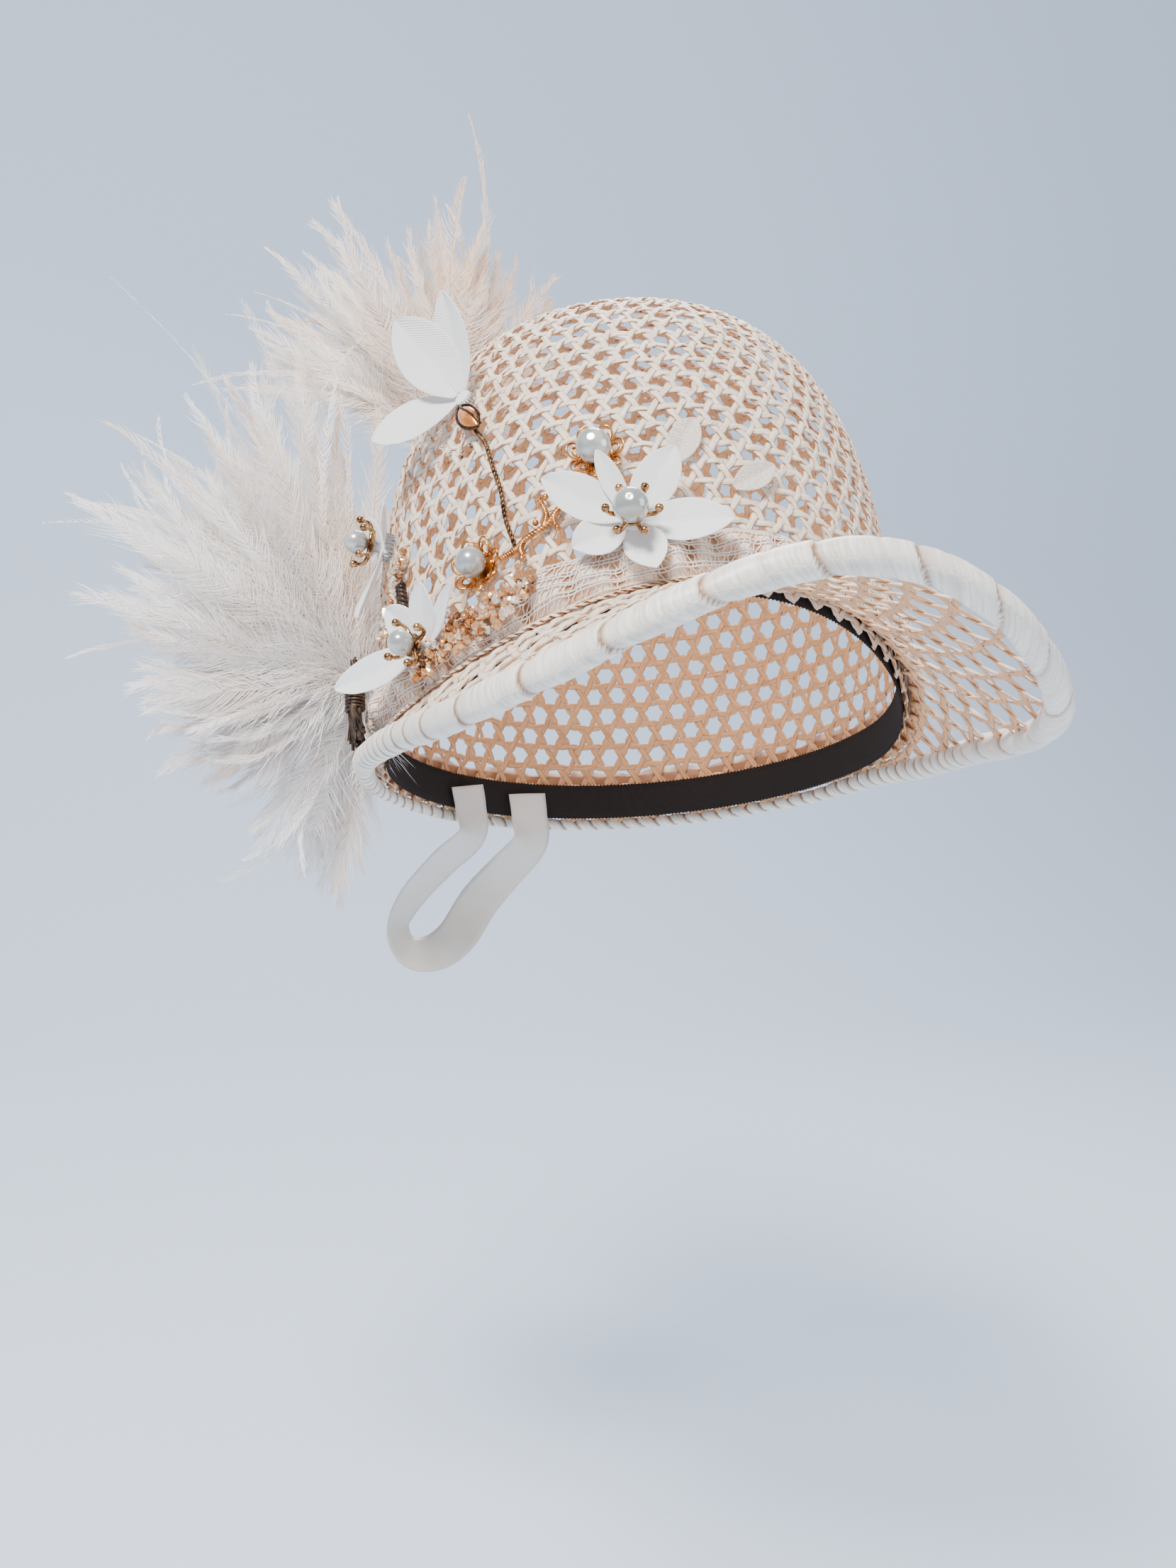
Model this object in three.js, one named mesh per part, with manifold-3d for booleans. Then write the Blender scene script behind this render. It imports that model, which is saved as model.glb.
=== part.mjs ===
// Straw cap of open net with a deep peak, a pleated lace band and a side spray of flowers and feathers.
// Millimetres. In the hat's own frame the opening is level at height 0, the peak points along -Y and
// the wearer's left is +X. The whole hat is then tipped back, as it sits on a head. An azimuth is in
// degrees from the front, positive towards the wearer's left. A height share is a share of crownHeight.
import * as THREE from 'three';
import { mergeVertices } from 'three/addons/utils/BufferGeometryUtils.js';
import Module from 'manifold-3d';

const wasm = await Module();
wasm.setup();

// Hat
const tiltBack = 20;
const crownHalfWidth = 88;
const crownHalfLength = 92.5;
const crownHeight = 148;
const crownSquareness = 2.9;
const frontArch = 24;
const strawWall = 2;
const seamDepth = 4;
const fitGap = 0.3;

// How far the flat parts of the net lie inside its round surface, at most and where a wide piece rests
const netSag = 0.6;
const netHollow = 1.7;

// Net
const crownColumns = 12;
const crownRows = 6;
const crownTopAngle = 6;
const brimColumns = 24;
const brimRows = 3;
const brimNetAzimuth = 62;
const holeHalfWidth = 0.33;
const holeHalfHeight = 0.4;

// Brim and its binding, from the front to the back in steps of 30 degrees.
// reach is a share of peakReach, droop is in degrees below level, roll is a share of bindingThickness.
const peakReach = 87;
const bindingThickness = 10.4;
const bindingSides = 8;
const brimSteps = 48;
const brimTable = [
  { reach: 1, droop: 17.5, roll: 1 },
  { reach: 0.82, droop: 33.7, roll: 0.96 },
  { reach: 0.32, droop: 50, roll: 0.9 },
  { reach: 0.1, droop: 60, roll: 0.76 },
  { reach: 0.065, droop: 70, roll: 0.46 },
  { reach: 0.06, droop: 75, roll: 0.42 },
  { reach: 0.06, droop: 75, roll: 0.42 },
];

// Head ribbon inside, lace band outside
const ribbonHeight = 13;
const ribbonWall = 1;
const bandHeight = 14;
const bandLift = 1;
const bandPuff = 4.6;
const bandFold = 1.4;
const bandFace = bandPuff + bandFold / 2 + fitGap;

// Flowers. turn is in degrees around the seat, from the wearer's left towards the top of the crown.
const petalWall = 1;
const petalRoot = 2;
const settingPost = { radius: 2.2, height: 2.4 };
const settingRadius = 3.4;
const settingWall = 1;
const clawReach = 7.6;
const clawRise = 5.2;
const clawWire = 1.4;
const clawBall = 2.4;
const clawShape = [
  { out: 0, up: 0, wide: 1 },
  { out: 0.8, up: 0, wide: 1 },
  { out: 1, up: 0.6, wide: 0.5 },
  { out: 1, up: 0.82, wide: 1 },
  { out: 1, up: 1.1, wide: 0.4 },
];
const petalOutline = [
  { along: 0, across: 0.2 },
  { along: 0.22, across: 0.76 },
  { along: 0.5, across: 1 },
  { along: 0.8, across: 0.72 },
  { along: 1, across: 0.08 },
];
const frontFlower = {
  name: 'front_flower', azimuth: -19.6, height: 0.275, lift: fitGap,
  stem: 5.4, stemRadius: 3.6, pearl: 5.25, claws: 6, clawTurn: -5,
  petals: [
    { turn: 55, rise: 8, length: 23, width: 14 },
    { turn: -8, rise: 4, length: 28, width: 14 },
    { turn: -71, rise: 8, length: 17, width: 13 },
    { turn: 206, rise: 6, length: 18, width: 13 },
    { turn: 153, rise: 6, length: 27, width: 14 },
    { turn: 114, rise: 10, length: 21, width: 7 },
  ],
};
const lowerFlower = {
  name: 'lower_flower', azimuth: -62, height: 0.1, lift: bandFace,
  stem: 2.6, stemRadius: 3.6, pearl: 3.9, claws: 4, clawTurn: 20,
  petals: [
    { turn: 72, rise: 12, length: 18, width: 13 },
    { turn: 30, rise: 10, length: 24, width: 8 },
    { turn: 186, rise: 2, length: 36, width: 12 },
    { turn: 128, rise: 10, length: 18, width: 12 },
  ],
};
const sideFlower = {
  name: 'side_flower', azimuth: -87, height: 0.43, lift: fitGap - netHollow,
  stem: 4.4, stemRadius: 4.8, pearl: 4, claws: 5, clawTurn: 90,
  petals: [
    { turn: -84, rise: 9, length: 26, width: 18 },
    { turn: 24, rise: 9, length: 17, width: 12 },
    { turn: 146, rise: 9, length: 18, width: 14 },
  ],
};

// Pearls in wire filigree
const filigreeRadius = 4.9;
const loopRadius = 3;
const loopWire = 0.55;
const loopReach = 6.2;
const loopLean = 30;
const filigreePearls = [
  { name: 'upper', azimuth: -25.6, height: 0.435, stem: 1.6, pearl: 5.25, loops: 5 },
  { name: 'middle', azimuth: -50.3, height: 0.245, stem: 1.6, pearl: 4.65, loops: 5 },
];

// Leaf spray high on the side, and the wires below it
const spraySeat = { azimuth: -58, height: 0.665, stem: 3.2, radius: 3 };
const sprayPetals = [
  { turn: 125, rise: 32, length: 34, width: 20 },
  { turn: 84, rise: 24, length: 33, width: 13 },
  { turn: 192, rise: 16, length: 30, width: 19 },
];
const goldLeaf = { azimuth: -54.5, height: 0.6, length: 13, radius: 2.6, turn: -48 };
const wireRadius = 1;
const wireLift = 1.5;
const wireSides = 5;
const sprayWireRoute = [
  { azimuth: -49.6, height: 0.52 },
  { azimuth: -47, height: 0.46 },
  { azimuth: -45.8, height: 0.4 },
  { azimuth: -44.6, height: 0.335 },
];
const branchRoute = [
  { azimuth: -33, height: 0.335 },
  { azimuth: -36, height: 0.3 },
  { azimuth: -40.3, height: 0.28 },
  { azimuth: -42.6, height: 0.262 },
];
const twigRoute = [
  { azimuth: -36.6, height: 0.295 },
  { azimuth: -36.2, height: 0.33 },
  { azimuth: -37.4, height: 0.36 },
];
const organzaLeaves = [
  { azimuth: -11, height: 0.41, turn: 62, length: 17, width: 10 },
  { azimuth: 1, height: 0.36, turn: 30, length: 16, width: 9 },
];

// Bead rows, dark braid and the bound quills on the side
const bandBeadRadius = 2.7;
const bandBeadCount = 9;
const bandBeadStart = { azimuth: -53.5, above: 7.5 };
const bandBeadEnd = { azimuth: -39, above: 9.5 };
const bandBeadZigzag = 0.6;
const crownBeadRadius = 2;
const crownBeadCount = 8;
const crownBeadStart = { azimuth: -75.5, height: 0.345 };
const crownBeadEnd = { azimuth: -83.5, height: 0.22 };
const braidRoute = [
  { azimuth: -74, height: 0.275 },
  { azimuth: -72.6, height: 0.225 },
  { azimuth: -72.6, height: 0.175 },
];
const braidRadius = 2;
const quillSeat = { azimuth: -89, height: 0.115 };
const quillLength = 29.6;
const quillRest = 0.3;
const quillRadius = 3;
const quillFan = [-22, 0, 22];

// Feathers. Each lock is a tapering strip from the pad, seen flat from the front. up is its angle above
// level on the wearer's right, reach is a share of the plume's length and back leans a layer rearwards.
const lockThickness = 2.6;
const lockTaper = [
  { along: 0, across: 0.26 },
  { along: 0.55, across: 1 },
  { along: 1, across: 0.08 },
];
const sidePlume = {
  name: 'side_plume', azimuth: -103, height: 0.185, sink: fitGap - netSag,
  padRadius: 11, padThickness: 8, length: 148, width: 24,
  layers: [
    { back: -2, turn: 0, size: 1 },
    { back: 14, turn: -6, size: 0.84 },
  ],
  locks: [
    { up: 80, reach: 1, wide: 1, curl: -0.04, back: 0 },
    { up: 68, reach: 0.95, wide: 1, curl: -0.06, back: 0 },
    { up: 54, reach: 0.87, wide: 1, curl: -0.04, back: 0 },
    { up: 40, reach: 0.8, wide: 1, curl: 0.04, back: 0 },
    { up: 22, reach: 0.7, wide: 1, curl: 0.08, back: 0 },
    { up: 4, reach: 0.6, wide: 1, curl: 0.1, back: 0 },
    { up: -16, reach: 0.5, wide: 0.9, curl: 0.08, back: 2 },
    { up: -40, reach: 0.44, wide: 0.8, curl: 0.06, back: 6 },
    { up: -62, reach: 0.48, wide: 0.6, curl: -0.04, back: 16 },
    { up: -82, reach: 0.6, wide: 0.45, curl: -0.04, back: 32 },
  ],
};
const topPlume = {
  name: 'top_plume', azimuth: -136, height: 0.84, sink: fitGap - netHollow,
  padRadius: 9, padThickness: 8, length: 148, width: 26,
  layers: [
    { back: 4, turn: 0, size: 1 },
    { back: 17, turn: -8, size: 0.82 },
  ],
  locks: [
    { up: 124, reach: 0.58, wide: 0.8, curl: 0.06, back: 10 },
    { up: 108, reach: 0.74, wide: 1, curl: 0.06, back: 0 },
    { up: 92, reach: 1, wide: 0.8, curl: 0.06, back: 0 },
    { up: 74, reach: 0.8, wide: 1, curl: -0.04, back: 0 },
    { up: 54, reach: 0.74, wide: 1, curl: -0.06, back: 0 },
    { up: 34, reach: 0.66, wide: 0.9, curl: -0.04, back: 4 },
  ],
};

// Ribbon tie that hangs plumb in a loop, with both ends inside the head ribbon. turn runs along the rim
// and out away from the head, right is along X, and twist turns the ribbon's width from level to fore
// and aft.
const tieAzimuth = -149;
const tieWidth = 15;
const tieWall = 1;
const tieSlack = 1.9;
const tieSteps = 30;
const tieRoute = [
  { turn: 0, out: 1.2, right: 0, down: -4, twist: 32 },
  { turn: 0, out: -1.2, right: 0, down: 4, twist: 32 },
  { turn: 0, out: -4.8, right: -2, down: 14, twist: 32 },
  { turn: 0, out: -3, right: -11, down: 24, twist: 30 },
  { turn: 0, out: 0, right: -20, down: 37, twist: 36 },
  { turn: 0, out: 0, right: -25, down: 48, twist: 50 },
  { turn: 0, out: 0, right: -21, down: 57, twist: 50 },
  { turn: 0, out: 0, right: -12, down: 58, twist: 40 },
  { turn: 0, out: 0, right: -3, down: 52, twist: 25 },
  { turn: -8, out: 0, right: -4, down: 38, twist: 8 },
  { turn: -14, out: -2, right: -3, down: 26, twist: -6 },
  { turn: -19, out: -4.8, right: -1, down: 14, twist: -12 },
  { turn: -19, out: -1.4, right: 0, down: 4, twist: -12 },
  { turn: -19, out: 1.3, right: 0, down: -4, twist: -12 },
];

// Materials
const finish = (colour, roughness, metalness = 0) =>
  new THREE.MeshStandardMaterial({ color: colour, roughness, metalness });
const straw = finish(0xe9dcc4, 0.75);
const satin = finish(0xf0e8d8, 0.45);
const darkRibbon = finish(0x3a3430, 0.8);
const lace = finish(0xe8cdb4, 0.8);
const petalCloth = finish(0xf6f3ee, 0.85);
const organza = finish(0xf0e0d0, 0.5);
const pearlCoat = finish(0xdfddd8, 0.25);
const bronze = finish(0x6b5136, 0.4, 0.9);
const gold = finish(0xc08a4c, 0.35, 0.9);
const crystal = finish(0xb88a5c, 0.3, 0.5);
const feather = finish(0xf3eee6, 0.9);
const warmFeather = finish(0xdcc6ac, 0.9);

// General helpers
const radians = THREE.MathUtils.degToRad;
const lerp = THREE.MathUtils.lerp;
const vector = (x, y, z) => new THREE.Vector3(x, y, z);
const power = (base, exponent) => Math.pow(Math.max(base, 0), exponent);

function closedGeometry(triangles) {
  const geometry = new THREE.BufferGeometry();
  geometry.setAttribute('position', new THREE.Float32BufferAttribute(triangles.flatMap(p => p.toArray()), 3));
  return withPositionOnly(geometry);
}

function withPositionOnly(geometry) {
  const bare = geometry.clone();
  bare.deleteAttribute('normal');
  bare.deleteAttribute('uv');
  return mergeVertices(bare);
}

// A closed solid through sections with equal numbers of points. A ring joins its last one to its first.
function loft(sections, isRing = false) {
  const triangles = [];
  const count = sections[0].length;
  const bands = isRing ? sections.length : sections.length - 1;
  for (let i = 0; i < bands; i++) {
    const a = sections[i];
    const b = sections[(i + 1) % sections.length];
    for (let k = 0; k < count; k++) {
      const next = (k + 1) % count;
      triangles.push(a[k], a[next], b[next], a[k], b[next], b[k]);
    }
  }
  if (!isRing) {
    const first = sections[0];
    const last = sections[sections.length - 1];
    for (let k = 0; k < count - 2; k++) {
      triangles.push(first[count - 1], first[k + 1], first[k]);
      triangles.push(last[count - 1], last[k], last[k + 1]);
    }
  }
  return facingOut(triangles);
}

function facingOut(triangles) {
  let volume = 0;
  for (let i = 0; i < triangles.length; i += 3) {
    volume += triangles[i].dot(vector(0, 0, 0).crossVectors(triangles[i + 1], triangles[i + 2]));
  }
  return closedGeometry(volume < 0 ? triangles.reverse() : triangles);
}

function toManifold(geometry) {
  const bare = withPositionOnly(geometry);
  return new wasm.Manifold(new wasm.Mesh({
    numProp: 3,
    vertProperties: new Float32Array(bare.getAttribute('position').array),
    triVerts: new Uint32Array(bare.getIndex().array),
  }));
}

function fuse(geometries) {
  const solid = geometries.map(toManifold).reduce((whole, piece) => whole.add(piece));
  const mesh = solid.getMesh();
  const fused = new THREE.BufferGeometry();
  fused.setAttribute('position', new THREE.BufferAttribute(new Float32Array(mesh.vertProperties), 3));
  fused.setIndex(new THREE.BufferAttribute(new Uint32Array(mesh.triVerts), 1));
  return fused;
}

function tube(points, radius, sides, steps) {
  const section = new THREE.Shape();
  for (let k = 0; k < sides; k++) {
    const angle = 2 * Math.PI * k / sides;
    section[k ? 'lineTo' : 'moveTo'](radius * Math.cos(angle), radius * Math.sin(angle));
  }
  const extrudePath = new THREE.CatmullRomCurve3(points, false, 'centripetal');
  return new THREE.ExtrudeGeometry(section, { steps, extrudePath, curveSegments: 1 });
}

function mesh(name, geometry, material) {
  const piece = new THREE.Mesh(geometry, material);
  piece.name = name;
  return piece;
}

// The crown's outer surface
const sliceShare = height => power(1 - power(height, crownSquareness), 1 / crownSquareness);
const headLine = azimuth => frontArch * Math.max(Math.cos(radians(azimuth)), 0) ** 2;

function crownPoint(azimuth, height, lift = 0) {
  const angle = radians(azimuth);
  const slice = sliceShare(height);
  return vector(
    (crownHalfWidth + lift) * slice * Math.sin(angle),
    -(crownHalfLength + lift) * slice * Math.cos(angle),
    (crownHeight + lift) * height,
  );
}

// Axes at a place on the crown: X towards the wearer's left, Y up the crown and Z out of it
function crownSeat(azimuth, height, lift = 0) {
  const probe = 0.01;
  const left = crownPoint(azimuth + 1, height).sub(crownPoint(azimuth - 1, height)).normalize();
  const rise = crownPoint(azimuth, height + probe).sub(crownPoint(azimuth, height - probe));
  const out = vector(0, 0, 0).crossVectors(left, rise).normalize();
  const up = vector(0, 0, 0).crossVectors(out, left);
  const seat = new THREE.Group();
  seat.applyMatrix4(new THREE.Matrix4().makeBasis(left, up, out).setPosition(crownPoint(azimuth, height, lift)));
  return seat;
}

// Net shell of hexagonal gaps in staggered rows. place(turn, rise, depth) gives a point, with turn a
// share of the circle, rise a share from the first row's foot to the last row's head and depth 0 or 1.
function netShell({ columns, rows, place, isPierced, apex }) {
  const triangles = [];
  const quad = (a, b, c, d) => triangles.push(a, b, c, a, c, d);
  const border = [[0, 0], [0.5, 0], [1, 0], [1, 1], [0.5, 1], [0, 1]];
  const gap = [
    [0.5 - holeHalfWidth, 0.5 - holeHalfHeight / 2],
    [0.5, 0.5 - holeHalfHeight],
    [0.5 + holeHalfWidth, 0.5 - holeHalfHeight / 2],
    [0.5 + holeHalfWidth, 0.5 + holeHalfHeight / 2],
    [0.5, 0.5 + holeHalfHeight],
    [0.5 - holeHalfWidth, 0.5 + holeHalfHeight / 2],
  ];
  for (let row = 0; row < rows; row++) {
    for (let column = 0; column < columns; column++) {
      const start = column + (row % 2) / 2;
      const ring = (outline, depth) => outline.map(([across, along]) =>
        place(((start + across) % columns) / columns, (row + along) / rows, depth));
      const [outer, inner] = [ring(border, 0), ring(border, 1)];
      if (!isPierced((start + 0.5) / columns)) {
        quad(outer[0], outer[1], outer[4], outer[5]);
        quad(outer[1], outer[2], outer[3], outer[4]);
        quad(inner[5], inner[4], inner[1], inner[0]);
        quad(inner[4], inner[3], inner[2], inner[1]);
        continue;
      }
      const [gapOuter, gapInner] = [ring(gap, 0), ring(gap, 1)];
      for (let k = 0; k < border.length; k++) {
        const next = (k + 1) % border.length;
        quad(outer[k], outer[next], gapOuter[next], gapOuter[k]);
        quad(inner[next], inner[k], gapInner[k], gapInner[next]);
        quad(gapOuter[k], gapOuter[next], gapInner[next], gapInner[k]);
      }
    }
  }
  for (let half = 0; half < 2 * columns; half++) {
    const turn = half / (2 * columns);
    const nextTurn = ((half + 1) % (2 * columns)) / (2 * columns);
    quad(place(nextTurn, 0, 0), place(turn, 0, 0), place(turn, 0, 1), place(nextTurn, 0, 1));
    if (apex) {
      triangles.push(place(turn, 1, 0), place(nextTurn, 1, 0), apex(0));
      triangles.push(place(nextTurn, 1, 1), place(turn, 1, 1), apex(1));
    } else {
      quad(place(turn, 1, 0), place(nextTurn, 1, 0), place(nextTurn, 1, 1), place(turn, 1, 1));
    }
  }
  return closedGeometry(triangles);
}

// Crown, woven in one piece down to the seam with the brim
function crownWall(turn, rise, depth) {
  const azimuth = 360 * turn;
  const foot = headLine(azimuth) / crownHeight;
  const footAngle = Math.atan2(sliceShare(foot), foot);
  const angle = lerp(footAngle, radians(crownTopAngle), rise);
  const round = power(power(Math.sin(angle), crownSquareness) + power(Math.cos(angle), crownSquareness),
    -1 / crownSquareness);
  const point = crownPoint(azimuth, Math.min(round * Math.max(Math.cos(angle), 0), 1), -depth * strawWall);
  point.z -= seamDepth * Math.max(1 - rise * crownRows, 0);
  return point;
}

function crown() {
  const geometry = netShell({
    columns: crownColumns,
    rows: crownRows,
    place: crownWall,
    isPierced: () => true,
    apex: depth => crownPoint(0, 1, -depth * strawWall),
  });
  return mesh('crown', geometry, straw);
}

// Brim. A line of it runs from the crown's seam out and down to the middle of the binding.
function fromBrimTable(column, azimuth) {
  const stepAngle = 180 / (brimTable.length - 1);
  const along = Math.abs(THREE.MathUtils.euclideanModulo(azimuth + 180, 360) - 180) / stepAngle;
  const row = Math.min(Math.floor(along), brimTable.length - 2);
  const last = brimTable.length - 1;
  const value = k => brimTable[k < 0 ? -k : k > last ? 2 * last - k : k][column];
  const [p0, p1, p2, p3] = [value(row - 1), value(row), value(row + 1), value(row + 2)];
  const t = along - row;
  return 0.5 * (2 * p1 + (p2 - p0) * t + (2 * p0 - 5 * p1 + 4 * p2 - p3) * t * t
    + (3 * p1 - p0 - 3 * p2 + p3) * t ** 3);
}

function brimLine(azimuth) {
  const angle = radians(azimuth);
  const droop = radians(fromBrimTable('droop', azimuth));
  const level = vector(crownHalfLength * Math.sin(angle), -crownHalfWidth * Math.cos(angle), 0).normalize();
  const out = level.clone().multiplyScalar(Math.cos(droop)).add(vector(0, 0, -Math.sin(droop)));
  const up = level.clone().multiplyScalar(Math.sin(droop)).add(vector(0, 0, Math.cos(droop)));
  const seam = crownPoint(azimuth, headLine(azimuth) / crownHeight);
  const roll = bindingThickness / 2 * fromBrimTable('roll', azimuth);
  const root = seam.clone().addScaledVector(level, fitGap + strawWall * Math.sin(droop));
  const rollMiddle = root.clone().addScaledVector(out, peakReach * fromBrimTable('reach', azimuth));
  const edge = rollMiddle.clone().addScaledVector(out, -(roll + fitGap));
  return { out, up, roll, rollMiddle, root, edge };
}

function brim() {
  const geometry = netShell({
    columns: brimColumns,
    rows: brimRows,
    place: (turn, rise, depth) => {
      const line = brimLine(360 * turn);
      return line.root.lerp(line.edge, rise).addScaledVector(line.up, -depth * strawWall);
    },
    isPierced: turn => Math.abs(THREE.MathUtils.euclideanModulo(360 * turn + 180, 360) - 180) < brimNetAzimuth,
    apex: null,
  });
  return mesh('brim', flipped(geometry), straw);
}

// The brim's rows run outwards and downwards, so its faces are wound the other way
function flipped(geometry) {
  const index = geometry.getIndex().array;
  let volume = 0;
  const at = i => vector(0, 0, 0).fromBufferAttribute(geometry.getAttribute('position'), index[i]);
  for (let i = 0; i < index.length; i += 3) {
    volume += at(i).dot(at(i + 1).cross(at(i + 2)));
  }
  if (volume < 0) {
    geometry.setIndex(Array.from(index).reverse());
  }
  return geometry;
}

function edgeBinding() {
  const sections = [];
  for (let i = 0; i < brimSteps; i++) {
    const { out, up, roll, rollMiddle } = brimLine(360 * i / brimSteps);
    const section = [];
    for (let k = 0; k < bindingSides; k++) {
      const angle = 2 * Math.PI * (k + 0.5) / bindingSides;
      section.push(rollMiddle.clone()
        .addScaledVector(out, roll * Math.cos(angle))
        .addScaledVector(up, roll * Math.sin(angle)));
    }
    sections.push(section);
  }
  return mesh('edge_binding', loft(sections, true), satin);
}

// Head ribbon, flat against the inside of the crown's lowest row
function headRibbon() {
  const steps = 2 * crownColumns;
  const outerDepth = 1 + fitGap / strawWall;
  const innerDepth = outerDepth + ribbonWall / strawWall;
  const sections = [];
  for (let i = 0; i < steps; i++) {
    const turn = i / steps;
    const at = (share, depth) => crownWall(turn, 0, depth).lerp(crownWall(turn, 1 / crownRows, depth), share);
    const top = ribbonHeight / crownWall(turn, 0, 1).distanceTo(crownWall(turn, 1 / crownRows, 1));
    sections.push([at(0, outerDepth), at(top, outerDepth), at(top, innerDepth), at(0, innerDepth)]);
  }
  return mesh('head_ribbon', loft(sections, true), darkRibbon);
}

// Lace band round the foot of the crown, pushed into small pleats
function laceBand() {
  const sections = [];
  for (let i = 0; i < brimSteps; i++) {
    const azimuth = 360 * i / brimSteps;
    const puff = bandPuff - (i % 2) * bandFold;
    const at = (above, lift) => crownPoint(azimuth, (headLine(azimuth) + above) / crownHeight, lift);
    const top = bandLift + bandHeight;
    sections.push([
      at(bandLift, fitGap),
      at(bandLift, puff),
      at(bandLift + bandHeight / 2, puff + bandFold / 2),
      at(top, puff - bandFold),
      at(top, fitGap),
    ]);
  }
  return mesh('lace_band', loft(sections, true), lace);
}

// A cupped petal along +X with its underside down
function petalShape(length, width, cup = 0.16) {
  return loft(petalOutline.map(({ along, across }) => {
    const half = width / 2 * across;
    const raised = cup * half;
    const x = length * along;
    const z = cup * length * along * along / 2;
    return [
      vector(x, half, z + raised + petalWall / 2),
      vector(x, half, z + raised - petalWall / 2),
      vector(x, 0, z - petalWall / 2),
      vector(x, -half, z + raised - petalWall / 2),
      vector(x, -half, z + raised + petalWall / 2),
      vector(x, 0, z + petalWall / 2),
    ];
  }));
}

function placedPetal({ turn, rise, length, width }, height) {
  return petalShape(length, width)
    .translate(petalRoot, 0, 0)
    .rotateY(-radians(rise))
    .rotateZ(radians(turn))
    .translate(0, 0, height);
}

function disc(radius, low, high, sides = 8) {
  return new THREE.CylinderGeometry(radius, radius, high - low, sides)
    .rotateX(Math.PI / 2)
    .translate(0, 0, (low + high) / 2);
}

function pearl(name, radius, height) {
  const ball = mesh(name, withPositionOnly(new THREE.SphereGeometry(radius, 9, 6)), pearlCoat);
  ball.rotation.x = Math.PI / 2;
  ball.position.z = height;
  return ball;
}

// One claw of a setting, along +X, swelling to a ball at its tip
function claw(foot) {
  const middle = foot + settingWall / 2;
  return loft(clawShape.map(({ out, up, wide }, k) => {
    const half = wide / 2 * (k < 2 ? clawWire : clawBall);
    const corners = k < 2
      ? [[0, -1, -1], [0, 1, -1], [0, 1, 1], [0, -1, 1]]
      : [[1, -1, 0], [1, 1, 0], [-1, 1, 0], [-1, -1, 0]];
    return corners.map(([x, y, z]) => vector(
      lerp(settingRadius - clawWire, clawReach, out) + x * half,
      y * half,
      lerp(middle, foot + clawRise, up) + z * half,
    ));
  }));
}

// A cloth flower: petals on a stem, then a setting with claws, then a pearl held in it
function flower({ name, azimuth, height, lift, stem, stemRadius, pearl: radius, claws, clawTurn, petals }) {
  const seat = crownSeat(azimuth, height, lift);
  const postTop = stem + settingPost.height;
  const middle = [disc(stemRadius, 0, stem), disc(settingPost.radius, 0, postTop)];
  const blossom = [...middle, ...petals.map(petal => placedPetal(petal, stem - 1.5 * petalWall))];
  seat.add(mesh(`${name}_petals`, fuse(blossom), petalCloth));
  const settingFoot = postTop + fitGap;
  const setting = [disc(settingRadius, settingFoot, settingFoot + settingWall)];
  for (let k = 0; k < claws; k++) {
    const turn = radians(clawTurn + 360 * k / claws);
    setting.push(claw(settingFoot).rotateZ(turn));
  }
  seat.add(mesh(`${name}_setting`, fuse(setting), bronze));
  seat.add(pearl(`${name}_pearl`, radius, settingFoot + settingWall + fitGap + radius));
  return seat;
}

// A pearl on a disc with a ring of wire loops standing round it
function filigreePearl({ name, azimuth, height, stem, pearl: radius, loops }) {
  const seat = crownSeat(azimuth, height, fitGap);
  const lean = radians(loopLean);
  const pieces = [disc(filigreeRadius, 0, stem)];
  for (let k = 0; k < loops; k++) {
    const loop = new THREE.TorusGeometry(loopRadius, loopWire, 3, 7)
      .rotateY(Math.PI / 2 + lean)
      .translate(loopReach, 0, stem + loopRadius * Math.cos(lean) - loopWire)
      .rotateZ(2 * Math.PI * k / loops);
    pieces.push(loop);
  }
  seat.add(mesh(`${name}_filigree`, fuse(pieces), gold));
  seat.add(pearl(`${name}_pearl`, radius, stem + fitGap + radius));
  return seat;
}

function leafSpray() {
  const seat = crownSeat(spraySeat.azimuth, spraySeat.height, fitGap);
  const petals = sprayPetals.map(petal => placedPetal(petal, spraySeat.stem - petalWall));
  seat.add(mesh('spray_petals', fuse([disc(spraySeat.radius, 0, spraySeat.stem), ...petals]), petalCloth));
  return seat;
}

function goldLeafBead() {
  const { azimuth, height, length, radius, turn } = goldLeaf;
  const seat = crownSeat(azimuth, height, radius + fitGap);
  const bead = new THREE.SphereGeometry(1, 8, 6).rotateZ(Math.PI / 2).scale(length / 2, radius, radius);
  const piece = mesh('gold_leaf_bead', withPositionOnly(bead), gold);
  piece.rotation.z = radians(turn);
  seat.add(piece);
  return seat;
}

const onCrown = (route, lift) => route.map(({ azimuth, height }) => crownPoint(azimuth, height, lift));

function wires() {
  const branch = tube(onCrown(branchRoute, wireLift), wireRadius, wireSides, 8);
  const twig = tube(onCrown(twigRoute, wireLift), wireRadius, wireSides, 4);
  return [
    mesh('spray_wire', withPositionOnly(tube(onCrown(sprayWireRoute, wireLift), wireRadius, wireSides, 8)), bronze),
    mesh('wire_branch', fuse([branch, twig]), gold),
  ];
}

function organzaLeaf({ azimuth, height, turn, length, width }, index) {
  const seat = crownSeat(azimuth, height, fitGap - netSag + petalWall);
  const leaf = mesh(`organza_leaf_${index + 1}`, petalShape(length, width), organza);
  leaf.rotation.z = radians(turn);
  seat.add(leaf);
  return seat;
}

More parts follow.
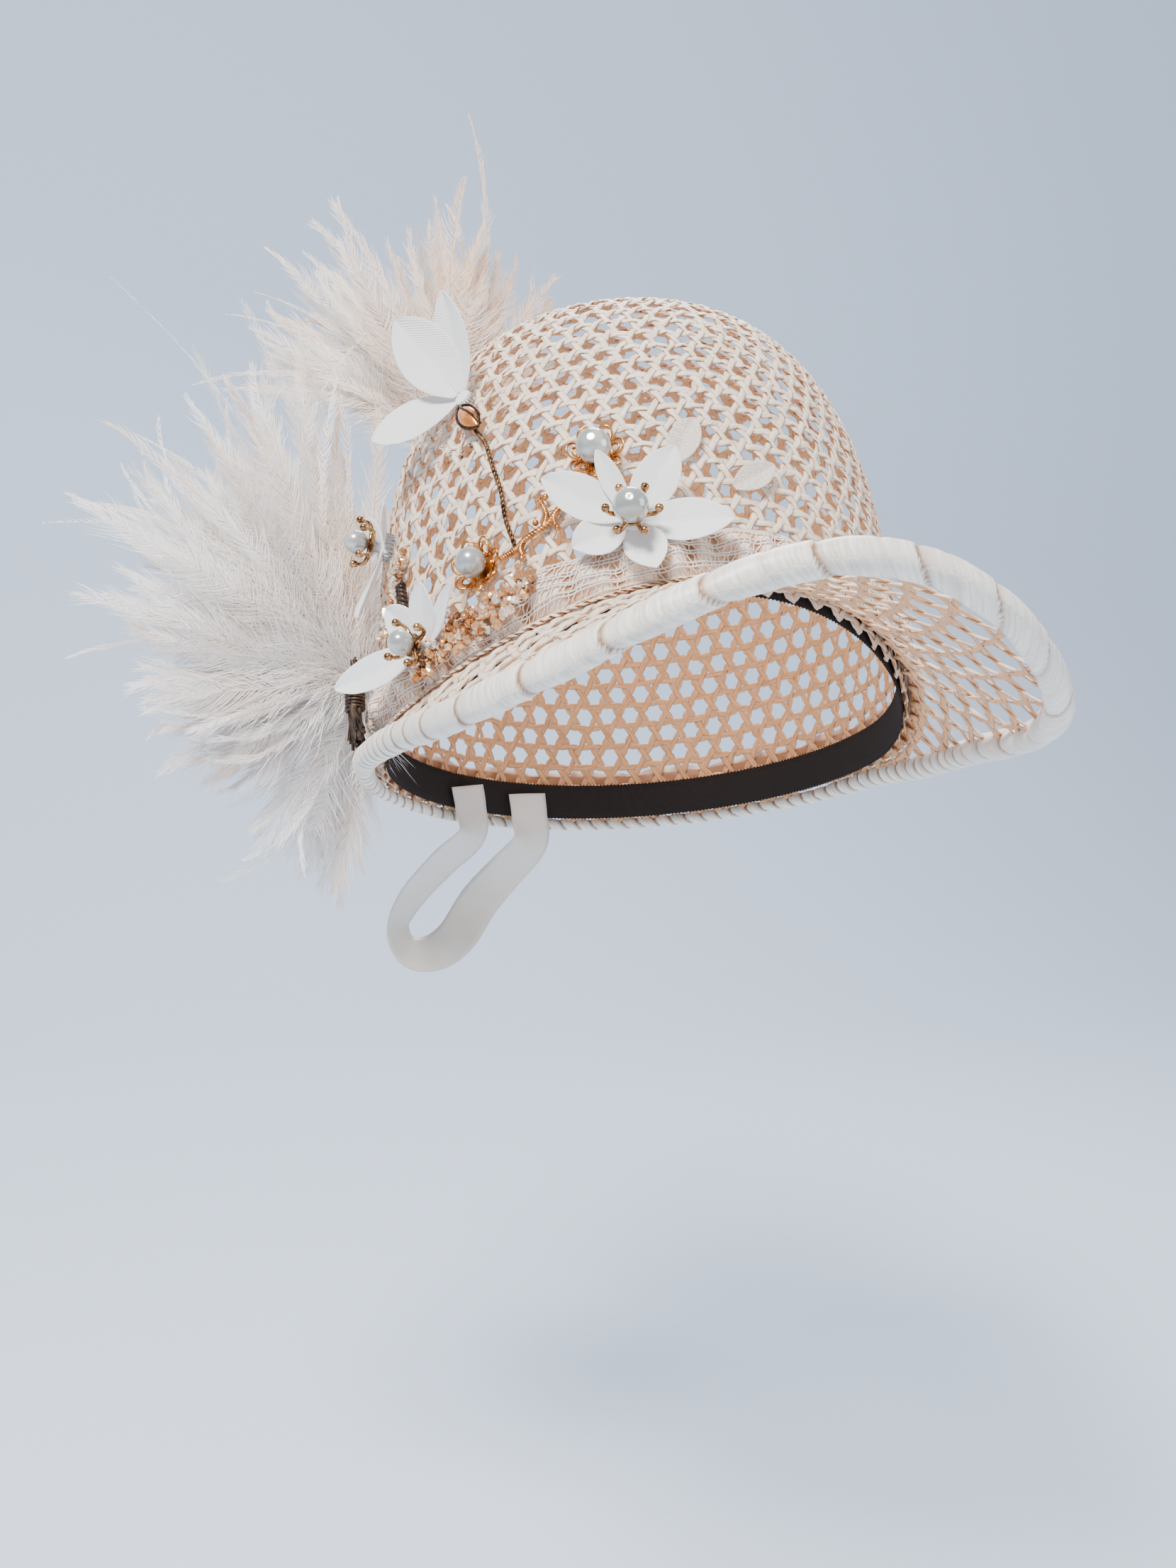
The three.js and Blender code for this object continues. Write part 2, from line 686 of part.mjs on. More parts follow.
// A fused row of beads between two places, with an optional zigzag across it
function beadRow(name, count, radius, place, zigzag = 0) {
  const beads = [];
  for (let k = 0; k < count; k++) {
    const middle = place(k / (count - 1));
    middle.z += zigzag * (k % 2 ? 1 : -1);
    beads.push(new THREE.IcosahedronGeometry(radius, 0).translate(middle.x, middle.y, middle.z));
  }
  return mesh(name, fuse(beads), crystal);
}

function beadRows() {
  return [
    beadRow('band_beads', bandBeadCount, bandBeadRadius, along => {
      const azimuth = lerp(bandBeadStart.azimuth, bandBeadEnd.azimuth, along);
      const above = lerp(bandBeadStart.above, bandBeadEnd.above, along);
      return crownPoint(azimuth, (headLine(azimuth) + above) / crownHeight, bandFace + bandBeadRadius);
    }, bandBeadZigzag),
    beadRow('crown_beads', crownBeadCount, crownBeadRadius, along => crownPoint(
      lerp(crownBeadStart.azimuth, crownBeadEnd.azimuth, along),
      lerp(crownBeadStart.height, crownBeadEnd.height, along),
      fitGap + crownBeadRadius,
    )),
    mesh('dark_braid', withPositionOnly(tube(onCrown(braidRoute, braidRadius + fitGap), braidRadius, 6, 6)), bronze),
  ];
}

// Bound feather quills, fanned down across the lace band
function quills() {
  const seat = crownSeat(quillSeat.azimuth, quillSeat.height, bandPuff + bandFold + quillRadius + quillRest);
  const spindle = () => new THREE.CylinderGeometry(quillRadius, quillRadius / 3, quillLength, 5)
    .translate(0, -quillLength / 4, 0);
  const bundle = quillFan.map(turn => spindle().rotateZ(radians(turn)));
  seat.add(mesh('bound_quills', fuse(bundle), bronze));
  return seat;
}

// One lock of a plume from the pad's middle. curl bends it upwards by a share of its reach.
function plumeLock(root, reach, up, back, curl, width) {
  const along = vector(-Math.cos(radians(up)), Math.tan(radians(back)), Math.sin(radians(up))).normalize();
  const across = vector(0, 1, 0).cross(along).normalize();
  const over = vector(0, 0, 0).crossVectors(along, across);
  return loft(lockTaper.map(({ along: share, across: breadth }) => {
    const middle = root.clone()
      .addScaledVector(along, reach * share)
      .addScaledVector(across, curl * reach * share * share);
    const half = width / 2 * breadth;
    const thick = lockThickness / 2 * Math.max(breadth, 0.3);
    return [
      middle.clone().addScaledVector(across, half),
      middle.clone().addScaledVector(over, thick),
      middle.clone().addScaledVector(across, -half),
      middle.clone().addScaledVector(over, -thick),
    ];
  }));
}

function plume({ name, azimuth, height, sink, padRadius, padThickness, length, width, layers, locks }, material) {
  const seat = crownSeat(azimuth, height, sink + padThickness / 2);
  const pad = new THREE.SphereGeometry(1, 8, 6)
    .scale(padRadius, padRadius, padThickness / 2)
    .applyMatrix4(seat.matrix);
  const strips = layers.flatMap(layer => locks.map(lock => plumeLock(
    seat.position, length * lock.reach * layer.size, lock.up + layer.turn, lock.back + layer.back,
    lock.curl, width * lock.wide)));
  return mesh(name, fuse([pad, ...strips]), material);
}

function ribbonTie(toWorld) {
  const depth = strawWall + fitGap + ribbonWall + tieSlack + tieWall / 2;
  const outFrom = azimuth => crownPoint(azimuth + 1, 0).sub(crownPoint(azimuth - 1, 0)).normalize()
    .applyAxisAngle(vector(0, 0, 1), -Math.PI / 2);
  const path = new THREE.CatmullRomCurve3(tieRoute.map(({ turn, out, right, down }) =>
    crownPoint(tieAzimuth + turn, 0, -depth)
      .applyMatrix4(toWorld)
      .addScaledVector(outFrom(tieAzimuth + turn), out)
      .add(vector(right, 0, -down))), false, 'centripetal');
  const sections = [];
  for (let i = 0; i <= tieSteps; i++) {
    const share = i / tieSteps * (tieRoute.length - 1);
    const row = Math.min(Math.floor(share), tieRoute.length - 2);
    const twist = radians(lerp(tieRoute[row].twist, tieRoute[row + 1].twist, share - row));
    const along = path.getTangent(i / tieSteps);
    const level = vector(0, 0, 0).crossVectors(along, vector(0, 1, 0)).normalize();
    const rough = level.multiplyScalar(Math.cos(twist)).add(vector(0, Math.sin(twist), 0));
    const face = vector(0, 0, 0).crossVectors(along, rough).normalize();
    const across = vector(0, 0, 0).crossVectors(face, along);
    const corner = (w, t) => path.getPoint(i / tieSteps)
      .addScaledVector(across, w * tieWidth / 2)
      .addScaledVector(face, t * tieWall / 2);
    sections.push([corner(-1, -1), corner(1, -1), corner(1, 1), corner(-1, 1)]);
  }
  return mesh('ribbon_tie', loft(sections), satin);
}

const hat = new THREE.Group();
hat.rotation.x = -radians(tiltBack);
hat.updateMatrix();
hat.add(crown(), brim(), edgeBinding(), headRibbon(), laceBand());
hat.add(flower(frontFlower), flower(lowerFlower), flower(sideFlower));
hat.add(...filigreePearls.map(filigreePearl));
hat.add(leafSpray(), goldLeafBead(), ...wires());
hat.add(...organzaLeaves.map(organzaLeaf));
hat.add(...beadRows(), quills());
hat.add(plume(sidePlume, feather), plume(topPlume, warmFeather));

const strawCap = new THREE.Group();
strawCap.add(hat, ribbonTie(hat.matrix));

export default strawCap;
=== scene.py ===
"""Straw cap: woven net, wrapped edge, pleated lace, cloth flowers with pearls, and feathers.

Lengths in the maker's own frame are millimetres: the head opening is level at height 0, the peak
points along -Y and the wearer's left is +X. to_world() tips that frame back as the cap is worn.
"""
import math

import bpy
import numpy as np
from bpy.props import FloatProperty, FloatVectorProperty, IntProperty, PointerProperty
from mathutils import Matrix, Vector


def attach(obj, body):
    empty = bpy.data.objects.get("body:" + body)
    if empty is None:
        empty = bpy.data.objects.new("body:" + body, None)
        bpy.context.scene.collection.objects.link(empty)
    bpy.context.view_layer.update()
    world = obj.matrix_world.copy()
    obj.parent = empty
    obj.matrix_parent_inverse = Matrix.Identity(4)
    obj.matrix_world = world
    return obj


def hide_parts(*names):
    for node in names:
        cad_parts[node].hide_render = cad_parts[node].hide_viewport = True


bl_info = {
    "name": "Straw Cap",
    "version": (1, 0, 0),
    "blender": (4, 5, 0),
    "location": "View3D > Sidebar > Straw Cap",
    "description": "Builds the woven, wrapped and feathered pieces of a straw cap",
    "category": "Object",
}

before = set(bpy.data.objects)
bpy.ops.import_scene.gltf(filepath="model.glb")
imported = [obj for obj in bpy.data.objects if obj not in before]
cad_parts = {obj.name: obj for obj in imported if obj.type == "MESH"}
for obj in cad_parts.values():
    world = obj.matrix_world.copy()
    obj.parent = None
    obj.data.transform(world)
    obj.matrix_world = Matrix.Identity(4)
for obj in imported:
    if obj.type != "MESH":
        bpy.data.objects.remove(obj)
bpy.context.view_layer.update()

# Shape of the cap, in millimetres and degrees
TILT = math.radians(20)
HALF_WIDTH, HALF_LENGTH, HEIGHT, SQUARE = 88.0, 92.5, 148.0, 2.9
FRONT_ARCH = 24.0
WALL = 2.0
GAP = 0.3
SEAM = 4.0
PEAK = 87.0
ROLL = 10.4
BRIM_REACH = (1, 0.82, 0.32, 0.1, 0.065, 0.06, 0.06)
BRIM_DROOP = (17.5, 33.7, 50, 60, 70, 75, 75)
BRIM_ROLL = (1, 0.96, 0.9, 0.76, 0.46, 0.42, 0.42)
BAND_LIFT, BAND_HEIGHT, BAND_PUFF, BAND_FOLD = 1.0, 14.0, 4.6, 1.4
BAND_FACE = BAND_PUFF + BAND_FOLD / 2 + GAP
PETAL_ROOT = 2.0
COLUMNS = 60
RINGS = 10
ROWS = 15
# Distance between rings of cells at the crown's top, and where the brim's cells start in their plan
CELL_STEP, BRIM_START = 8.3, 200
# Corners of a seam straw, and the wraps of the edge that differ before they repeat
SEAM_CORNERS, WRAP_KINDS = 540, 400


# The maker's frame
def to_world(points):
    points = np.asarray(points, float)
    cos, sin = math.cos(TILT), math.sin(TILT)
    x, y, z = points[..., 0], points[..., 1], points[..., 2]
    return np.stack([x, y * cos + z * sin, z * cos - y * sin], -1) * 0.001


def unit(vectors):
    vectors = np.asarray(vectors, float)
    return vectors / np.maximum(np.linalg.norm(vectors, axis=-1, keepdims=True), 1e-12)


def power(base, exponent):
    return np.maximum(base, 0.0) ** exponent


def head_line(azimuth):
    return FRONT_ARCH * np.maximum(np.cos(np.radians(azimuth)), 0) ** 2


def crown_normal(points):
    x, y, z = points[..., 0], points[..., 1], np.maximum(points[..., 2], 0)
    share = np.sqrt((x / HALF_WIDTH) ** 2 + (y / HALF_LENGTH) ** 2)
    side = power(share, SQUARE - 2)
    return unit(np.stack([side * x / HALF_WIDTH**2, side * y / HALF_LENGTH**2,
                          power(z / HEIGHT, SQUARE - 1) / HEIGHT], -1))


def crown_point(azimuth, height, lift=0.0):
    """A point of the crown at an azimuth from the front and a share of its height."""
    azimuth, height = np.broadcast_arrays(np.asarray(azimuth, float), np.asarray(height, float))
    angle = np.radians(azimuth)
    share = power(1 - power(height, SQUARE), 1 / SQUARE)
    point = np.stack([HALF_WIDTH * share * np.sin(angle), -HALF_LENGTH * share * np.cos(angle),
                      HEIGHT * height], -1)
    return point + crown_normal(point) * np.asarray(lift, float)[..., None]


def meridian():
    """Distance along the crown from its top, with the share of the width and the height there."""
    angle = np.linspace(0, np.pi / 2, 400)
    scale = (np.sin(angle) ** SQUARE + np.cos(angle) ** SQUARE) ** (-1 / SQUARE)
    share, rise = scale * np.sin(angle), scale * np.cos(angle) * HEIGHT
    steps = np.hypot(np.diff(share) * (HALF_WIDTH + HALF_LENGTH) / 2, np.diff(rise))
    return np.concatenate([[0], np.cumsum(steps)]), share, rise


DISTANCE, SHARE, RISE = meridian()


def crown_at(azimuth, distance, lift=0.0):
    """A point of the crown at a distance from its top, straight down below the opening."""
    angle = np.radians(azimuth)
    share = np.interp(distance, DISTANCE, SHARE)
    rise = np.interp(distance, DISTANCE, RISE) - np.maximum(distance - DISTANCE[-1], 0)
    point = np.stack([HALF_WIDTH * share * np.sin(angle), -HALF_LENGTH * share * np.cos(angle),
                      rise], -1)
    return point + crown_normal(point) * np.asarray(lift, float)[..., None]


def distance_at(rise):
    return np.where(rise < 0, DISTANCE[-1] - rise, np.interp(rise, RISE[::-1], DISTANCE[::-1]))


def smooth_between(p0, p1, p2, p3, t):
    """A share t of the way from p1 to p2, on a smooth line through all four."""
    return 0.5 * (2 * p1 + (p2 - p0) * t + (2 * p0 - 5 * p1 + 4 * p2 - p3) * t**2
                  + (3 * p1 - p0 - 3 * p2 + p3) * t**3)


def brim_value(column, azimuth):
    """A smooth value from a column that runs from the front to the back."""
    step = 180 / (len(column) - 1)
    along = np.abs((np.asarray(azimuth, float) + 180) % 360 - 180) / step
    last = len(column) - 1
    row = np.minimum(np.floor(along), last - 1).astype(int)
    values = np.array(column, float)
    after = np.where(row + 2 > last, 2 * last - row - 2, row + 2)
    return smooth_between(values[np.abs(row - 1)], values[row], values[row + 1], values[after],
                          along - row)


def brim_line(azimuth):
    """The brim's root at the crown, its direction outwards and upwards, and the roll's middle."""
    azimuth = np.asarray(azimuth, float)
    angle = np.radians(azimuth)
    droop = np.radians(brim_value(BRIM_DROOP, azimuth))[..., None]
    level = unit(np.stack([HALF_LENGTH * np.sin(angle), -HALF_WIDTH * np.cos(angle),
                           np.zeros_like(angle)], -1))
    high = np.array([0.0, 0.0, 1.0])
    out = level * np.cos(droop) - high * np.sin(droop)
    up = level * np.sin(droop) + high * np.cos(droop)
    root = crown_point(azimuth, head_line(azimuth) / HEIGHT) + level * (GAP + WALL * np.sin(droop))
    roll = ROLL / 2 * brim_value(BRIM_ROLL, azimuth)
    reach = PEAK * brim_value(BRIM_REACH, azimuth)
    return root, out, up, roll, reach


def seat_axes(azimuth, height, lift=0.0):
    """Origin and axes at a place on the crown: wearer's left, up the crown, and out of it."""
    left = unit(crown_point(azimuth + 1, height) - crown_point(azimuth - 1, height))
    rise = crown_point(azimuth, height + 0.01) - crown_point(azimuth, height - 0.01)
    out = unit(np.cross(left, rise))
    return crown_point(azimuth, height, lift), np.stack([left, np.cross(out, left), out])


def on_seat(points, seat):
    origin, axes = seat
    return np.asarray(points, float) @ axes + origin


def turned(points, turn, rise=0.0):
    """Points lifted by rise about Y and then turned about Z, both in degrees."""
    points = np.asarray(points, float)
    a, b = math.radians(rise), math.radians(turn)
    x = points[..., 0] * math.cos(a) - points[..., 2] * math.sin(a)
    z = points[..., 0] * math.sin(a) + points[..., 2] * math.cos(a)
    y = points[..., 1]
    return np.stack([x * math.cos(b) - y * math.sin(b), x * math.sin(b) + y * math.cos(b), z], -1)


def curve_through(points, count):
    """Evenly spread points on a smooth line through the given ones."""
    points = np.asarray(points, float)
    spans = len(points) - 1
    t = np.linspace(0, spans, count)
    i = np.minimum(t.astype(int), spans - 1)
    padded = np.vstack([2 * points[0] - points[1], points, 2 * points[-1] - points[-2]])
    return smooth_between(*(padded[i + k] for k in range(4)), (t - i)[:, None])


# Modelling helpers
def select_only(*objects):
    bpy.ops.object.select_all(action="DESELECT")
    for piece in objects:
        piece.select_set(True)
    bpy.context.view_layer.objects.active = objects[0]


def coordinates(piece):
    flat = np.zeros(len(piece.data.vertices) * 3)
    piece.data.vertices.foreach_get("co", flat)
    return flat.reshape(-1, 3)


def set_coordinates(piece, points):
    piece.data.vertices.foreach_set("co", np.ascontiguousarray(points, dtype=np.float32).ravel())
    piece.data.update()


def give_values(piece, name, values):
    """Stores a number or a vector for each vertex, for the piece's material to read."""
    values = np.asarray(values, np.float32)
    kind, field = ("FLOAT", "value") if values.ndim == 1 else ("FLOAT_VECTOR", "vector")
    layer = piece.data.attributes.get(name) or piece.data.attributes.new(name, kind, "POINT")
    layer.data.foreach_set(field, values.ravel())


def apply_modifier(piece, kind, **settings):
    select_only(piece)
    modifier = piece.modifiers.new(kind.title(), kind)
    for key, value in settings.items():
        setattr(modifier, key, value)
    bpy.ops.object.modifier_apply(modifier=modifier.name)


def tidy_normals(piece):
    select_only(piece)
    bpy.ops.object.mode_set(mode="EDIT")
    bpy.ops.mesh.select_all(action="SELECT")
    bpy.ops.mesh.remove_doubles(threshold=1e-6)
    bpy.ops.mesh.normals_make_consistent(inside=False)
    bpy.ops.object.mode_set(mode="OBJECT")


def joined(name, pieces):
    select_only(*pieces)
    if len(pieces) > 1:
        bpy.ops.object.join()
    piece = bpy.context.view_layer.objects.active
    piece.name = piece.data.name = name
    return piece


def dressed(piece, finish, replaces=(), smooth=True):
    """Gives a piece its material, rides it on the cap and hides the parts of model.glb that it stands in
    for.
    """
    piece.data.materials.clear()
    piece.data.materials.append(finish)
    if smooth:
        piece.data.shade_smooth()
    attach(piece, "root")
    if replaces:
        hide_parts(*replaces)
    return piece


def mesh_piece(name, points, faces):
    mesh = bpy.data.meshes.new(name)
    mesh.from_pydata(np.asarray(points).tolist(), [], faces)
    mesh.update()
    piece = bpy.data.objects.new(name, mesh)
    bpy.context.scene.collection.objects.link(piece)
    return piece


def grid_primitive(name, columns, rows):
    """A flat grid, with its corners' shares of the width and the depth."""
    bpy.ops.object.select_all(action="DESELECT")
    bpy.ops.mesh.primitive_grid_add(x_subdivisions=columns, y_subdivisions=rows, size=2)
    piece = bpy.context.object
    piece.name = piece.data.name = name
    flat = coordinates(piece)
    return piece, (flat[:, 0] + 1) / 2, (flat[:, 1] + 1) / 2


def grid_piece(name, columns, rows, place):
    """A grid primitive whose corner shares (u, v) are moved to place(u, v), in millimetres."""
    piece, u, v = grid_primitive(name, columns, rows)
    set_coordinates(piece, to_world(place(u, v)))
    give_values(piece, "cloth", np.stack([u, v, np.zeros_like(u)], -1))
    return piece


def ring_piece(name, around, across, place, values):
    """A grid primitive closed into a ring by place(azimuth, share of the section), in millimetres.

    place may fill values with numbers for the ring's corners, which the material reads."""
    piece, u, v = grid_primitive(name, around, across)
    turn = np.round(u * around) % around / around
    part = np.round(v * across) % across / across
    set_coordinates(piece, to_world(place(360 * turn - 180, part)))
    for key, value in values.items():
        give_values(piece, key, value)
    tidy_normals(piece)
    return piece


def wire_piece(name, points, radius, closed=False, resolution=2, taper=None):
    """A round wire along points in millimetres of the maker's frame."""
    points = to_world(points)
    curve = bpy.data.curves.new(name, "CURVE")
    curve.dimensions = "3D"
    curve.bevel_depth = radius * 0.001
    curve.bevel_resolution = resolution
    curve.use_fill_caps = not closed
    spline = curve.splines.new("POLY")
    spline.points.add(len(points) - 1)
    spline.use_cyclic_u = closed
    for index, (target, point) in enumerate(zip(spline.points, points)):
        target.co = (*point, 1)
        target.radius = 1 if taper is None else taper[index]
    piece = bpy.data.objects.new(name, curve)
    bpy.context.scene.collection.objects.link(piece)
    select_only(piece)
    bpy.ops.object.convert(target="MESH")
    return bpy.context.view_layer.objects.active


def ball_piece(name, middle, radii, seat=None, segments=24, rings=14, shape=None):
    """A sphere primitive, shaped by shape(unit points) and set on a seat, in millimetres."""
    bpy.ops.object.select_all(action="DESELECT")
    bpy.ops.mesh.primitive_uv_sphere_add(segments=segments, ring_count=rings, radius=1)
    piece = bpy.context.object
    piece.name = piece.data.name = name
    points = coordinates(piece)
    if shape is not None:
        points = shape(points)
    points = points * np.asarray(radii, float) + np.asarray(middle, float)
    set_coordinates(piece, to_world(points if seat is None else on_seat(points, seat)))
    return piece


def tubes(name, lines, sides):
    """Many thin strands in one mesh. Each line has points, over, width, thick and closed."""
    corner = 2 * np.pi * np.arange(sides) / sides
    cos, sin = np.cos(corner), np.sin(corner)
    points, faces, fibre, inner_shade, start = [], [], [], [], 0
    for line in lines:
        middle, closed = line["points"], line["closed"]
        if closed:
            ahead = np.roll(middle, -1, 0) - np.roll(middle, 1, 0)
        else:
            ahead = np.gradient(middle, axis=0)
        ahead = unit(ahead)
        across = unit(np.cross(line["over"], ahead))
        over = np.cross(ahead, across)
        twist = line.get("twist", np.zeros(len(middle)))[:, None]
        side = across * np.cos(twist) + over * np.sin(twist)
        face = over * np.cos(twist) - across * np.sin(twist)
        width, thick = line["width"][:, None], line["thick"][:, None]
        ring = (middle[:, None] + side[:, None] * (width / 2 * cos)[..., None]
                + face[:, None] * (thick / 2 * sin)[..., None])
        points.append(ring.reshape(-1, 3))
        length = np.concatenate([[0], np.cumsum(np.linalg.norm(np.diff(middle, axis=0), axis=1))])
        along = np.repeat(length, sides)
        spread = (width / 2 * cos).ravel()
        fibre.append(np.stack([along, spread, np.full(len(along), line["seed"])], -1))
        # Painted shade for the straw: the face that looks into the cap, and more where the strand passes
        # under another.
        under = 0.4 * np.maximum(-line.get("level", np.zeros(len(middle))), 0)
        inner_shade.append(np.clip(under[:, None] + (1 - sin) / 2, 0, 1).ravel())
        n = len(middle)
        first = np.arange(n if closed else n - 1)
        second = (first + 1) % n
        k = np.arange(sides)
        k_next = (k + 1) % sides
        quads = np.stack([first[:, None] * sides + k, first[:, None] * sides + k_next,
                          second[:, None] * sides + k_next, second[:, None] * sides + k], -1)
        faces.extend((quads.reshape(-1, 4) + start).tolist())
        if not closed:
            faces.append((start + k[::-1]).tolist())
            faces.append((start + (n - 1) * sides + k).tolist())
        start += n * sides
    piece = mesh_piece(name, to_world(np.vstack(points)), faces)
    give_values(piece, "fibre", np.vstack(fibre))
    give_values(piece, "inner_shade", np.concatenate(inner_shade))
    return piece


# Weave
def woven(cells, triangles):
    """Strands of an open weave round the given cells: lists of (crossing, is over), and closed or not.

    A strand passes between neighbouring cells, so it crosses another where two cells are nearest."""
    a, b, c = triangles.T
    ab, ac = cells[b] - cells[a], cells[c] - cells[a]
    wrong = ab[:, 0] * ac[:, 1] - ab[:, 1] * ac[:, 0] < 0
    triangles = np.where(wrong[:, None], triangles[:, [0, 2, 1]], triangles).tolist()
    left_of, after, before, crossings = {}, {}, {}, {}
    for index, (a, b, c) in enumerate(triangles):
        for u, v, w in ((a, b, c), (b, c, a), (c, a, b)):
            left_of[u, v] = index
            after[index, u], before[index, u] = v, w
            crossings.setdefault((min(u, v), max(u, v)), len(crossings))

    def onward(segment, is_over):
        _, u = segment
        v = after[segment] if is_over else before[segment]
        other = left_of.get((v, u) if is_over else (u, v))
        return crossings[min(u, v), max(u, v)], None if other is None else (other, v)

    strands, seen = [], set()

    def walk(segment, is_over):
        """Follows a strand from a segment that it leaves by its over or under end."""
        path = []
        while segment is not None and segment not in seen:
            seen.add(segment)
            crossing, segment = onward(segment, is_over)
            path.append((crossing, is_over))
            is_over = not is_over
        return path

    for segment in after:
        for is_over in (True, False):
            if segment not in seen and onward(segment, is_over)[1] is None:
                first = onward(segment, is_over)[0]
                strands.append(([(first, is_over)] + walk(segment, not is_over), False))
    for segment in after:
        if segment not in seen:
            strands.append((walk(segment, True), True))
    ends = np.array(sorted(crossings, key=crossings.get))
    return strands, ends


def polar(azimuth, distance):
    angle = np.radians(azimuth)
    return np.stack([distance * np.sin(angle), -distance * np.cos(angle)], -1)


def unpolar(points):
    return np.degrees(np.arctan2(points[..., 0], -points[..., 1])), np.linalg.norm(points, axis=-1)


def row_triangles(start, below, parity, count):
    """Triangles between a row of cells and the next one, which is shifted by half a cell."""
    found = []
    for i in range(count):
        here, beside = start + i, start + (i + 1) % count
        if parity:
            low, low_next = below + i, below + (i + 1) % count
            found += [(here, low, low_next), (here, low_next, beside)]
        else:
            low_before, low = below + (i - 1) % count, below + i
            found += [(here, low_before, low), (here, low, beside)]
    return found


def crown_cells():
    """Rings of cells round the top of the crown, then rows with an equal number of cells."""
    top = CELL_STEP * RINGS
    cells, triangles = [polar(np.zeros(1), np.zeros(1))], []
    starts = [0]
    for ring in range(1, RINGS + 1):
        starts.append(1 + 3 * (ring - 1) * ring)
        cells.append(polar(360 * np.arange(6 * ring) / (6 * ring), np.full(6 * ring, CELL_STEP * ring)))
    for ring in range(RINGS):
        here, there = starts[ring], starts[ring + 1]
        for sector in range(6):
            for i in range(ring + 1):
                inside = here + (sector * ring + i) % max(6 * ring, 1)
                out_a = there + (sector * (ring + 1) + i) % (6 * ring + 6)
                out_b = there + (sector * (ring + 1) + i + 1) % (6 * ring + 6)
                triangles.append((inside, out_a, out_b))
                if i < ring:
                    triangles.append((inside, out_b, here + (sector * ring + i + 1) % (6 * ring)))
    start = starts[-1]
    for row in range(1, ROWS + 1):
        azimuth = 360 * (np.arange(COLUMNS) + (row % 2) / 2) / COLUMNS
        foot = distance_at(head_line(azimuth) - SEAM)
        cells.append(polar(azimuth, top + (foot - top) * row / ROWS))
        below = start + COLUMNS
        triangles += row_triangles(start, below, (row - 1) % 2, COLUMNS)
        start = below
    return np.vstack(cells), np.array(triangles)


def strand_paths(cells, triangles, jitter, seed):
    """For each strand: flat points at its crossings and half-way between, and how far over it is."""
    strands, ends = woven(cells, triangles)
    rng = np.random.default_rng(seed)
    places = (cells[ends[:, 0]] + cells[ends[:, 1]]) / 2
    places = places + rng.normal(0, jitter, places.shape)
    found = []
    for path, closed in strands:
        index = np.array([crossing for crossing, _ in path])
        over = np.where([is_over for _, is_over in path], 1.0, -1.0)
        here = places[index]
        there = np.roll(here, -1, 0)
        over_there = np.roll(over, -1)
        flat = np.stack([here, (here + there) / 2], 1).reshape(-1, 2)
        level = np.stack([over, (over + over_there) / 2], 1).ravel()
        knot = np.tile([1.0, 0.0], len(index))
        if not closed:
            flat, level, knot = flat[:-1], level[:-1], knot[:-1]
        found.append((flat, level, knot, closed))
    return found


def strand_line(points, normal, level, knot, closed, rng, straw):
    """A flat straw that is pinched and pressed together where it crosses another."""
    n = len(points)
    broad = straw.strand_width * 1000 * (1 - 0.24 * knot) * rng.uniform(0.84, 1.12, n)
    thick = straw.strand_thickness * 1000 * (0.85 + 0.3 * knot) * rng.uniform(0.85, 1.15, n)
    return {
        "points": points + normal * (level * straw.strand_thickness * 1000 * 0.62)[:, None],
        "over": normal,
        "level": level,
        "width": broad,
        "thick": thick,
        "twist": rng.normal(0, 0.2, n),
        "closed": closed,
        "seed": rng.uniform(0, 100),
    }


class NetSettings(bpy.types.PropertyGroup):
    """The straw of the crown and the brim"""

    strand_width: FloatProperty(name="Strand width", description="Width of a flat straw",
                                default=0.0027, min=0.0005, max=0.01, unit="LENGTH")
    strand_thickness: FloatProperty(name="Strand thickness", description="Thickness of a flat straw",
                                    default=0.00062, min=0.0001, max=0.003, unit="LENGTH")
    light_colour: FloatVectorProperty(name="Straw colour", description="Colour of the outer face",
                                      subtype="COLOR", size=3, default=(0.92, 0.81, 0.67))
    # The inner colour is painted shade on the face that looks into the cap and under crossings.
    inner_shade_colour: FloatVectorProperty(name="Inner colour", description="Colour of the inner face",
                                     subtype="COLOR", size=3, default=(0.56, 0.26, 0.1))


class EdgeSettings(bpy.types.PropertyGroup):
    """The ribbon wrapped round the brim's edge"""

    wrap_pitch: FloatProperty(name="Wrap pitch", description="Width of a wrap on the peak",
                              default=0.027, min=0.005, max=0.06, unit="LENGTH")
    tight_pitch: FloatProperty(name="Tight pitch", description="Width of a wrap at the sides",
                               default=0.0062, min=0.002, max=0.03, unit="LENGTH")
    ribbon_colour: FloatVectorProperty(name="Ribbon colour", description="Colour of the wrapped ribbon",
                                       subtype="COLOR", size=3, default=(0.93, 0.85, 0.74))


class FlowerSettings(bpy.types.PropertyGroup):
    """Cloth petals, pearls and metal"""

    petal_colour: FloatVectorProperty(name="Petal colour", description="Colour of the petal cloth",
                                      subtype="COLOR", size=3, default=(0.88, 0.88, 0.87))
    petal_thickness: FloatProperty(name="Petal thickness", description="Thickness of the petal cloth",
                                   default=0.00045, min=0.0001, max=0.002, unit="LENGTH")
    pearl_colour: FloatVectorProperty(name="Pearl colour", description="Colour of the pearls",
                                      subtype="COLOR", size=3, default=(0.46, 0.47, 0.45))
    beads_on_band: IntProperty(name="Beads on the band", description="Number of small faceted beads",
                               default=250, min=10, max=600)


